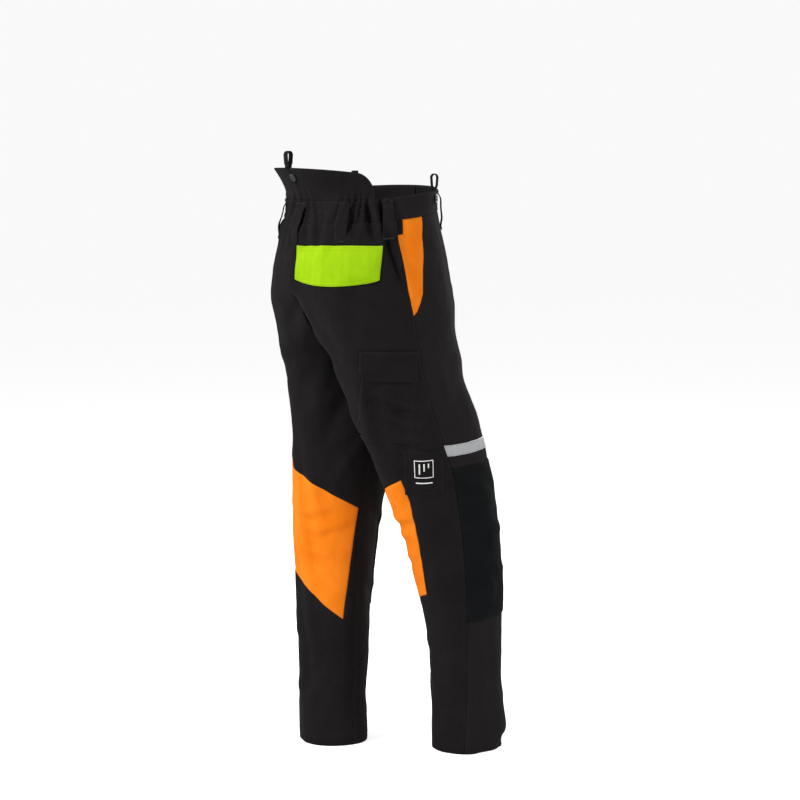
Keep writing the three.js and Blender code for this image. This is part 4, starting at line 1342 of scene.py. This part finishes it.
    def inside(self) -> None:
        """Lay in the cut protection, the lining, the pocket bag and the turned hem."""
        foot, top = (straight(height) for height in self.pack)
        pack = Patch(self.pack_inner_edge, self.pack_outer_edge, foot, top, 40, 150)
        self.tailor.cut(self.named("cut_protection_pack"), self.side, [pack], Layers(-6.2, -1.6, roll=0.8),
                        PACK, replaced=[self.named("cut_protection_pack")])
        foot, top = (straight(height) for height in self.lining)
        lining = Patch(self.lining_edge, self.outer, foot, top, 40, 150)
        self.tailor.cut(self.named("lining_front"), self.side, [lining], Layers(-7.3, -6.5, roll=0.2),
                        LINING, replaced=[self.named("lining_front")])
        foot, top = (straight(height) for height in self.bag)
        bag = Patch(straight(math.radians(-40.0)), self.outer, foot, top, 20, 50)
        self.tailor.cut(self.named("side_pocket_bag"), self.side, [bag], Layers(-5.8, -3.0, roll=0.8),
                        LINING, replaced=[self.named("side_pocket_bag")])
        foot, top = (straight(height) for height in self.hem)
        hem = Patch(lambda height: -self.inner(height), self.inner, foot, top, 90, 7)
        self.tailor.cut(self.named("hem_facing"), self.side, [hem], Layers(-3.6, -1.4, roll=0.3),
                        BLACK, replaced=[self.named("hem_facing")])

    def seams(self) -> None:
        """Sew the long seams and the hem."""
        sew = self.tailor.seam
        heights = np.linspace(8, 985, 300)
        for row, inset in enumerate((3.0, 8.5)):
            angle = self.outer(heights) + inset / LEG_RADIUS
            sew(self.named(f"side_stitch_{row}"), self.side, angle, heights, 0.5, THREAD)
        rise = np.linspace(800, 1014, 80)
        sew(self.named("seat_stitch"), self.side, self.inner(rise) - 3.5 / HIP_RADIUS, rise, 0.5, THREAD)
        fly = np.linspace(890, 1035, 60)
        for row, away in enumerate((4.0, 38.0)):
            edge = -self.tailor.form.loft.inner_angle(self.side, fly, self.fly_room + away)
            sew(self.named(f"fly_stitch_{row}"), self.side, edge, fly, 0.0, THREAD)
        mouth = np.linspace(853, 1018, 80)
        for row, inset in enumerate(self.row_insets):
            angle = self.mouth_edge(mouth) - inset / HIP_RADIUS
            sew(self.named(f"mouth_stitch_{row}"), self.side, angle, mouth, 0.0, THREAD)
        turn = np.linspace(-self.inner(np.array(20.0)) + 0.03, self.inner(np.array(20.0)) - 0.03, 200)
        for row, level in enumerate((16.0, 21.0)):
            sew(self.named(f"hem_stitch_{row}"), self.side, turn, level + 0 * turn, 0.45, THREAD)


@dataclass
class Pockets:
    """The lime back pocket, the thigh pocket and the woven patch, all on the right."""

    tailor: Tailor
    back: Board = Board(Side.RIGHT, -29, -80, 108, 970, 5)
    back_width: float = 172.0
    back_height: float = 64.0
    back_bow: float = 10.0
    back_corner: float = 2.5
    thigh: Board = Board(Side.RIGHT, -60, -159, 50, 778)
    thigh_width: float = 104.0
    thigh_height: float = 56.0
    thigh_cut: float = 18.0
    thigh_depth: float = 172.0
    body_cut: float = 14.0
    row_insets: tuple[float, float] = (3.0, 8.0)
    label: Board = Board(Side.RIGHT, -46, -146, -44, 549)
    label_size: tuple[float, float] = (72.0, 84.0)

    def build(self) -> None:
        """Make the pockets and the patch."""
        self.back_pocket()
        self.thigh_pocket()
        self.woven_patch()

    def back_foot(self, across: Array) -> Array:
        """Lower edge of the back flap: a shallow bow with rounded ends."""
        share = np.abs(across) / (self.back_width / 2)
        return -self.back_height - self.back_bow * (1 - share**2) + self.back_corner * share**14

    def thigh_foot(self, across: Array) -> Array:
        """Lower edge of the thigh pocket's flap, cut off at its rear corner."""
        return -self.thigh_height + np.maximum(0, self.thigh_cut - (across + self.thigh_width / 2))

    def body_foot(self, across: Array) -> Array:
        """Lower edge of the thigh pocket, cut off at both corners."""
        from_edge = (self.thigh_width - 6) / 2 - np.abs(across)
        return -self.thigh_depth + np.maximum(0, self.body_cut - from_edge)

    def tapes(
        self, name: str, board: Board, body: str, bar: Outline, layers: Sequence[Layers]
    ) -> None:
        """Sew a pair of hook and loop tapes, the hooks to the flap."""
        for kind, rides, layer in zip(("loop", "hook"), ("garment", body), layers):
            node = f"{name}_{kind}_tape"
            self.tailor.apply(node, board, bar, layer, HOOKS, rides, [node])

    def back_pocket(self) -> None:
        """Make the welt pocket with its lime flap."""
        apply, board, half = self.tailor.apply, self.back, self.back_width / 2
        bag = Outline.bar(self.back_width - 8, -2, 165)
        apply("back_pocket_bag", board, bag, Layers(-2.8, -1.5, roll=0.2), LINING,
              replaced=["back_pocket_bag"], spacing=5.0)
        for number, level in enumerate((-11.0, -17.5)):
            apply(f"back_pocket_welt_{number}", board, Outline.bar(156, level, 6),
                  Layers(0.3, 1.0, crown=0.3, roll=0.4), BLACK)
        bar = Outline.bar(110, -30, 20)
        pair = (Layers(0.4, 1.1, roll=0.1), Layers(1.4, 2.2, roll=0.1))
        self.tapes("back_flap", board, "back_flap", bar, pair)
        flap = Outline(self.back_width, self.back_foot, straight(0.0))
        apply("back_pocket_flap", board, flap, Layers(2.5, 3.7, crown=0.7, roll=0.9), LIME, "back_flap",
              ["back_pocket_flap"], 2.2)
        sew = partial(self.tailor.board_seam, layer=4.2, finish=LIME_THREAD, body="back_flap")
        for row, inset in enumerate(self.row_insets):
            across = np.linspace(-half + inset, half - inset, 40)
            low = zip(across, self.back_foot(across) + inset)
            line = [(-half + inset, -3), *low, (half - inset, -3)]
            sew(f"back_flap_stitch_{row}", board, line)
        for row, level in enumerate((-2.5, -8.0)):
            sew(f"back_flap_head_{row}", board, ((-half + 2, level), (half - 2, level)))

    def thigh_pocket(self) -> None:
        """Make the patch pocket on the thigh with its flap."""
        apply, board = self.tailor.apply, self.thigh
        half, wide, depth = self.thigh_width / 2, self.thigh_width - 6, self.thigh_depth
        body = Outline(wide, self.body_foot, straight(0.0))
        apply("thigh_pocket_body", board, body, Layers(0.3, 1.4, crown=0.5, roll=0.7), BLACK,
              replaced=["thigh_pocket_body"], spacing=2.6)
        bar = Outline.bar(60, -26, 20)
        pair = (Layers(1.9, 2.6, roll=0.1), Layers(2.9, 3.7, roll=0.1))
        self.tapes("thigh_flap", board, "thigh_flap", bar, pair)
        flap = Outline(self.thigh_width, self.thigh_foot, straight(0.0))
        apply("thigh_pocket_flap", board, flap, Layers(4.0, 5.0, crown=0.6, roll=0.8), BLACK,
              "thigh_flap", ["thigh_pocket_flap"], 2.2)
        for row, inset in enumerate(self.row_insets):
            edge, low = half - inset, -self.thigh_height + inset
            line = ((-edge, -3), (-edge, low + 16), (-edge + 16, low), (edge, low), (edge, -3))
            self.tailor.board_seam(f"thigh_flap_stitch_{row}", board, line, 5.5, THREAD, "thigh_flap")
            edge, low = wide / 2 - inset, -depth + inset
            line = ((-edge, -2), (-edge, low + 12), (-edge + 12, low), (edge - 12, low),
                    (edge, low + 12), (edge, -2))
            self.tailor.board_seam(f"thigh_pocket_stitch_{row}", board, line, 1.8, THREAD, "garment")
        for place in (-1, 1):
            u = place * (wide / 2 - 4)
            line = [(u + 3.5 * (-1) ** k, -68 - 0.8 * k) for k in range(12)]
            self.tailor.board_seam(f"thigh_tack_{place + 1}", board, line, 1.9, THREAD, "garment", 3.0)

    def woven_patch(self) -> None:
        """Make the woven patch with a plain device of bars in a frame."""
        apply, board = self.tailor.apply, self.label
        width, height = self.label_size
        apply("label_patch", board, Outline.bar(width, height / 2, height),
              Layers(0.3, 1.4, roll=0.5), BLACK, replaced=["label_patch"], spacing=2.4)
        embroider = partial(apply, layers=Layers(1.3, 1.9, roll=0.15), finish=WHITE_THREAD, spacing=1.6)
        frame_bars = ((25, 34, 1.3), (-7, 34, 1.3), (-17, 30, 2.0))  # top, width and height
        for number, (top, wide, tall) in enumerate(frame_bars):
            embroider(f"label_bar_{number}", board, Outline.bar(wide, top, tall))
        posts = (
            (-16.5, 25, 1.3, 33), (16.5, 25, 1.3, 33), (-8, 19, 2.2, 20), (0, 19, 2.2, 14),
            (8, 19, 2.2, 8),
        )  # shift, top, width and height
        for number, (shift, top, wide, tall) in enumerate(posts):
            moved = replace(board, shift=shift)
            embroider(f"label_post_{number}", moved, Outline.bar(wide, top, tall))
        edge, low = width / 2 - 2.5, height / 2 - 2.5
        line = ((-edge, -low), (edge, -low), (edge, low), (-edge, low), (-edge, -low))
        self.tailor.board_seam("label_stitch", board, line, 1.6, THREAD, "garment", 3.0)


@dataclass
class Waist:
    """The waistband, the raised back, the belt loops and the fittings for braces."""

    tailor: Tailor
    band: float = 42.0
    raised_half: float = 60.0
    raised_flat: float = 48.0
    raised_height: float = 60.0
    raised_drop: float = 11.0
    loops: dict[str, float] = field(default_factory=lambda: {
        "centre_back": 0, "back_right": -38, "back_left": 38, "side_right": -70, "side_left": 70,
        "front_right": -143, "front_left": 143,
    })
    loop_width: float = 21.0
    button_aside: float = 16.0
    braces: dict[str, float] = field(
        default_factory=lambda: {"back": 0, "front_right": -124, "front_left": 124}
    )

    @staticmethod
    def grid(low: float, high: float, columns: int, foot: float, top: Array | float, rows: int) -> tuple:
        """Bearings and rises of a stretch of the band."""
        bearing, share = np.meshgrid(np.linspace(low, high, columns + 1), np.linspace(0, 1, rows + 1))
        return bearing, foot + (top - foot) * share

    def raised_top(self, bearing: Array) -> Array:
        """Height of the raised back over the waist seam."""
        level = self.raised_height - self.raised_drop * (bearing / self.raised_flat) ** 2
        beyond = (np.abs(bearing) - self.raised_flat) / (self.raised_half - self.raised_flat)
        fall = np.sqrt(np.clip(1 - np.maximum(0, beyond) ** 2, 0, 1))
        return self.band + 3 + (level - 3) * fall

    def build(self) -> None:
        """Sew the waist together."""
        wrap, edge = self.tailor.wrap, ELASTIC_HALF
        seam, shell = 0.12, Layers(-1.2, 0.6, roll=0.8)
        wrap("waistband_back", *self.grid(-edge + seam, edge - seam, 300, 0.3, self.band, 26),
             shell, BLACK, replaced=["waistband_back"])
        wrap("waistband_front_right", *self.grid(-180 + seam, -edge - seam, 110, 0.3, self.band, 14),
             shell, CHARCOAL, replaced=["waistband_front_right"])
        wrap("waistband_front_left", *self.grid(edge + seam, 180 - seam, 110, 0.3, self.band, 14),
             shell, CHARCOAL, replaced=["waistband_front_left"])
        wrap("waist_elastic", *self.grid(-74, 74, 150, 4, 38, 8), Layers(-2.6, -1.5, roll=0.2), WEBBING,
             replaced=["waist_elastic"])
        wrap("waistband_underlap", *self.grid(168, 192, 14, -0.5, 40, 8), Layers(-2.7, -1.5, roll=0.2),
             CHARCOAL, replaced=["waistband_underlap"])
        wrap("waistband_facing", *self.grid(-179, 179, 300, -3, 41, 10), Layers(-4.6, -3.4, roll=0.3),
             BLACK, replaced=["waistband_facing"])
        self.raised_back()
        for row, level in enumerate((3.0, 39.0)):
            bearing = np.linspace(edge + 0.5, 360 - edge - 0.5, 400)
            self.tailor.waist_seam(f"band_stitch_{row}", bearing, level + 0 * bearing, 0.7)
        for row, level in enumerate(ELASTIC_ROWS):
            bearing = np.linspace(-edge + 0.5, edge - 0.5, 700)
            self.tailor.waist_seam(f"elastic_stitch_{row}", bearing, level + 0 * bearing, 0.7, 3.0)
        for place, bearing in self.loops.items():
            self.belt_loop(place, bearing)
        for place, bearing in self.braces.items():
            self.brace_fitting(place, bearing)

    def raised_back(self) -> None:
        """Sew the raised back and stitch two rows along its top edge."""
        half = self.raised_half
        even = np.linspace(-1, 1, 201)
        bearings = half * np.sign(even) * (1 - (1 - np.abs(even)) ** 1.25)
        top = self.raised_top(bearings)
        share = np.linspace(0, 1, 25)[:, None]
        bearing = np.broadcast_to(bearings, (25, 201))
        rise = self.band + 0.3 + (top - self.band - 0.3) * share
        self.tailor.wrap("high_back_panel", bearing, rise, Layers(-1.8, 0.2, roll=0.5), BLACK,
                         replaced=["high_back_panel"])
        inner = bearings * 0.985
        for row, inset in enumerate((3.5, 8.5)):
            self.tailor.waist_seam(f"high_back_stitch_{row}", inner, self.raised_top(inner) - inset, 0.3)

    def belt_loop(self, place: str, bearing: float) -> None:
        """Tack a belt loop to the band and the body, bowed clear between."""
        half = math.degrees(self.loop_width / 2 / WAIST_RADIUS)
        rise = np.linspace(-37, 39.5, 60)
        bow = along(((-36, 0.6), (-29, 1.0), (-22, 4.6), (-15, 7.0), (-4, 7.6), (20, 7.6),
                     (27, 5.6), (33, 1.0), (39, 0.6)), rise)
        bow = np.convolve(np.pad(bow, 3, mode="edge"), np.ones(7) / 7, mode="valid")
        hold = np.clip((8 - np.minimum(rise + 37, 39 - rise)) / 8, 0.25, 1)
        bearings = np.linspace(bearing - half, bearing + half, 9)
        grid, rises = np.meshgrid(bearings, rise)
        bow, hold = np.broadcast_to(bow[:, None], grid.shape), np.broadcast_to(hold[:, None], grid.shape)
        name = f"belt_loop_{place}"
        self.tailor.wrap(name, grid, rises, Layers(0.3, 1.7, crown=0.2, roll=0.6), BLACK,
                         replaced=[name], bow=bow, drape=hold)
        for end, level in (("foot", -33.0), ("head", 36.0)):
            zigzag = bearing + half * 0.85 * np.where(np.arange(24) % 2, 1, -1)
            levels = level + np.linspace(-1.2, 1.2, 24)
            self.tailor.waist_seam(f"{name}_tack_{end}", zigzag, levels, 2.5, 2.2)

    def brace_fitting(self, place: str, bearing: float) -> None:
        """Fit a standing webbing loop and the tack button below it."""
        low, high = (np.array(corner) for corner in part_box(f"brace_loop_{place}"))
        outward = self.tailor.form.waist_normal(bearing)
        beside = Vector((-outward.y, outward.x, 0))
        base = Vector(((low[0] + high[0]) / 2, (low[1] + high[1]) / 2, low[2]))
        tall, depth, thick, width = (high[2] - low[2]) / MM, 14.0, 2.0, 12.0
        turns = np.linspace(-0.25, math.pi + 0.25, 30)
        arc = [(depth / 2 * 0.96 * math.cos(t), tall - depth / 2 + depth / 2 * math.sin(t)) for t in turns]
        tails = [(3.4, -1), (3.2, 3), (5.4, 8)]
        path = np.array(tails + arc + [(-x, z) for x, z in tails[::-1]])
        path[:, 0] *= (depth - thick) / depth
        path[:, 1] -= thick / 2 * np.clip(path[:, 1] / tall, 0, 1)
        way = np.gradient(path, axis=0)
        way /= np.linalg.norm(way, axis=1, keepdims=True)
        out = np.stack([way[:, 1], -way[:, 0]], -1)
        corners = ((-1, -1), (0, -1.15), (1, -1), (1.08, 0), (1, 1), (0, 1.15), (-1, 1), (-1.08, 0))
        ring = []
        for point, side in zip(path, out):
            for across, up in corners:
                x, z = point + side * up * thick / 2
                away = outward * x + beside * across * width / 2 + Vector((0, 0, z))
                ring.append(base + away * MM)
        count, around = len(path), len(corners)
        faces = [
            [k * around + j, k * around + (j + 1) % around, (k + 1) * around + (j + 1) % around,
             (k + 1) * around + j]
            for k in range(count - 1) for j in range(around)
        ]
        faces += [list(range(around))[::-1], [(count - 1) * around + j for j in range(around)]]
        uv = np.array([[j * 4 * MM, k * 2 * MM] for k in range(count) for j in range(around)])
        name = f"brace_loop_{place}"
        self.tailor.finish_mesh(name, np.array(ring), faces, WEBBING, name, [name], uv)
        self.button(f"brace_button_{place}", 8.5, 4.2, DARK_METAL, bearing,
                    0.6 if place == "back" else 0.0)

    def waist_button(self) -> None:
        """Set the tack button of the waistband beside the centre front."""
        beside_front = math.degrees(self.button_aside / HIP[-1].half_width)
        self.button("waist_button", 8.5, 3.6, STEEL, 180 - beside_front, 0.0)

    def button(
        self, node: str, radius: float, height: float, finish: Finish, bearing: float, lean: float
    ) -> None:
        """Turn a tack button: a rolled rim round a dished face with a stud in its middle."""
        low, high = (Vector(corner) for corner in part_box(node))
        outward = self.tailor.form.waist_normal(bearing)
        axis = (outward * math.cos(lean) - Vector((0, 0, math.sin(lean)))).normalized()
        profile = ((0, -2.6), (2.6, -2.6), (2.6, 0.3), (6.2, 0.9), (8.0, 1.3), (8.5, 2.1), (8.3, 3.0),
                   (7.6, 3.7), (6.7, 4.0), (5.8, 3.7), (5.2, 3.0), (4.6, 2.7), (3.4, 2.6), (2.7, 2.9),
                   (2.3, 3.6), (1.4, 4.0), (0, 4.1))
        turn = Vector((0, 0, 1)).rotation_difference(axis).to_matrix()
        middle = (low + high) / 2 - axis * height / 2 * MM
        points, faces, steps = [], [], 48
        for across, out in profile:
            for k in range(steps):
                angle = 2 * math.pi * k / steps
                flat = Vector((across * math.cos(angle), across * math.sin(angle), out * height / 4.2))
                points.append(middle + turn @ flat * radius / 8.5 * MM)
        for row in range(len(profile) - 1):
            for k in range(steps):
                a, b = row * steps + k, row * steps + (k + 1) % steps
                faces.append([a, b, b + steps, a + steps])
        mesh_points = np.array(points)
        self.tailor.finish_mesh(node, mesh_points, faces, finish, "garment", [node])


@dataclass
class Fly:
    """The zip with its tapes and teeth, and its slider and pull."""

    tailor: Tailor
    foot: float = 884.0
    top: float = 1042.0
    tape_half: float = 16.0
    tooth_pitch: float = 2.2

    def line(self, height: float, out: float, across: float) -> tuple[float, float, float]:
        """A place on the fly's straight line, some mm outward and across, in metres."""
        loft = self.tailor.form.loft
        ends = [loft.point(Side.LEFT, np.array(-math.pi / 2), np.array(z))[1] for z in (self.foot, self.top)]
        slope = (ends[1] - ends[0]) / (self.top - self.foot)
        tilt = math.atan(slope)
        y = ends[0] + slope * (height - self.foot) - out * math.cos(tilt)
        return across * MM, (y + FORM_BACK) * MM, (height + out * math.sin(tilt)) * MM

    def block(self, points: list, faces: list, spans: tuple) -> None:
        """Add a block on the fly's line, from spans across, outward and in height."""
        (x0, x1), (o0, o1), (z0, z1) = spans
        start = len(points)
        for x in (x0, x1):
            for o in (o0, o1):
                points += [self.line(z, o, x) for z in (z0, z1)]
        for quad in ((0, 1, 3, 2), (4, 6, 7, 5), (0, 4, 5, 1), (2, 3, 7, 6), (0, 2, 6, 4), (1, 5, 7, 3)):
            faces.append([start + v for v in quad])

    def build(self) -> None:
        """Make the zip."""
        for side in Side:
            points, faces = [], []
            edges = sorted((side.value * 0.9, side.value * self.tape_half))
            levels = np.linspace(self.foot + 9, self.top - 1, 40)
            for low, high in zip(levels, levels[1:]):
                self.block(points, faces, (edges, (-3.8, -2.6), (low, high)))
            name = f"zip_tape_{side.word}"
            self.tailor.finish_mesh(name, np.array(points), faces, WEBBING, "garment", [name])
            points, faces = [], []
            for tooth in np.arange(self.foot + 2, self.top - 3, self.tooth_pitch):
                base = tooth + (self.tooth_pitch / 2 if side is Side.LEFT else 0)
                reach = sorted((-side.value * 0.7, side.value * 1.9))
                self.block(points, faces, (reach, (-2.6, -0.6), (base - 0.45, base + 0.45)))
            self.tailor.finish_mesh(f"zip_teeth_{side.word}", np.array(points), faces, STEEL, "garment")
        for node in ("zip_slider", "zip_pull"):
            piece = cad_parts[node]
            self.tailor.wardrobe.dress(piece, STEEL)
            LOG.info("%s: as it is, in plated metal", node)


@dataclass(frozen=True)
class Lamp:
    """A square soft light: its place and side in metres, its power in watts."""

    name: str
    place: tuple[float, float, float]
    size: float
    power: float

    def hang(self, toward: Vector) -> None:
        """Hang the light so that it faces a place."""
        light = bpy.data.lights.new(self.name, "AREA")
        light.size, light.energy = self.size, self.power
        lamp = bpy.data.objects.new(self.name, light)
        lamp.location = self.place
        lamp.rotation_euler = (toward - Vector(self.place)).to_track_quat("-Z", "Y").to_euler()
        bpy.context.scene.collection.objects.link(lamp)


@dataclass
class Studio:
    """Pale floor, soft daylight boxes and the camera."""

    lamps: tuple[Lamp, ...] = (
        Lamp("key", (-0.2, 3.4, 3.6), 0.9, 190),
        Lamp("side", (-3.4, -2.4, 2.2), 0.9, 70),
        Lamp("fill", (2.6, 2.4, 2.0), 1.6, 30),
        Lamp("front", (1.2, -3.4, 2.4), 1.6, 80),
    )
    lit_at: tuple[float, float, float] = (0.0, 0.0, 0.6)
    room_light: float = 0.5
    room_seen: float = 0.95
    floor_glow: float = 0.5
    floor_reach: float = 30.0
    camera_at: tuple[float, float, float] = (-3.317, 2.275, 1.018)
    aim: tuple[float, float, float] = (-0.041, -0.021, 0.675)
    lens: float = 94.7

    def room(self) -> None:
        """Fill the world with even white light, seen brighter than it lights."""
        world = bpy.data.worlds.new("white_room")
        world.use_nodes = True
        background = world.node_tree.nodes["Background"]
        background.inputs["Color"].default_value = (1, 1, 1, 1)
        rays = add_node(world.node_tree, "ShaderNodeLightPath", {})
        strength = add_node(
            world.node_tree, "ShaderNodeMapRange",
            {"To Min": self.room_light, "To Max": self.room_seen},
            Value=rays.outputs["Is Camera Ray"],
        )
        world.node_tree.links.new(strength.outputs[0], background.inputs["Strength"])
        bpy.context.scene.world = world

    def floor(self) -> None:
        """Lay a plain white floor just under the hems."""
        reach = self.floor_reach
        mesh = bpy.data.meshes.new("floor")
        corners = [(-reach, -reach, 0), (reach, -reach, 0), (reach, reach, 0), (-reach, reach, 0)]
        mesh.from_pydata(corners, [], [(0, 1, 2, 3)])
        floor = bpy.data.objects.new("floor", mesh)
        floor.location.z = -0.5 * MM
        bpy.context.scene.collection.objects.link(floor)
        material = bpy.data.materials.new("matt_white_paint")
        material.use_nodes = True
        shader = material.node_tree.nodes["Principled BSDF"]
        shader.inputs["Base Color"].default_value = linear("F2F2F2")
        shader.inputs["Roughness"].default_value = 0.9
        shader.inputs["Emission Color"].default_value = (1, 1, 1, 1)
        rays = add_node(material.node_tree, "ShaderNodeLightPath", {})
        glow = add_node(
            material.node_tree, "ShaderNodeMapRange", {"To Max": self.floor_glow},
            Value=rays.outputs["Is Camera Ray"],
        )
        material.node_tree.links.new(glow.outputs[0], shader.inputs["Emission Strength"])
        mesh.materials.append(material)

    def camera(self) -> None:
        """Set the camera at eye height behind the garment's right side."""
        scene = bpy.context.scene
        camera = bpy.data.objects.new("camera", bpy.data.cameras.new("camera"))
        camera.data.lens = self.lens
        camera.location = self.camera_at
        look = Vector(self.aim) - Vector(self.camera_at)
        camera.rotation_euler = look.to_track_quat("-Z", "Y").to_euler()
        scene.collection.objects.link(camera)
        scene.camera = camera

    def build(self) -> None:
        """Set the room, the floor, the lights and the camera."""
        bpy.context.scene.view_settings.view_transform = "Standard"
        self.room()
        self.floor()
        for lamp in self.lamps:
            lamp.hang(Vector(self.lit_at))
        self.camera()


def main() -> None:
    """Sew the garment and light it."""
    logging.basicConfig(level=logging.INFO, format="%(name)s: %(message)s")
    form = Form()
    form.drape.relief = Toile(form.loft).settle()
    tailor = Tailor(form, Wardrobe())
    for side in Side:
        Half(side, tailor).build()
    Pockets(tailor).build()
    waist = Waist(tailor)
    waist.build()
    Fly(tailor).build()
    waist.waist_button()
    Studio().build()


if __name__ == "__main__":
    main()
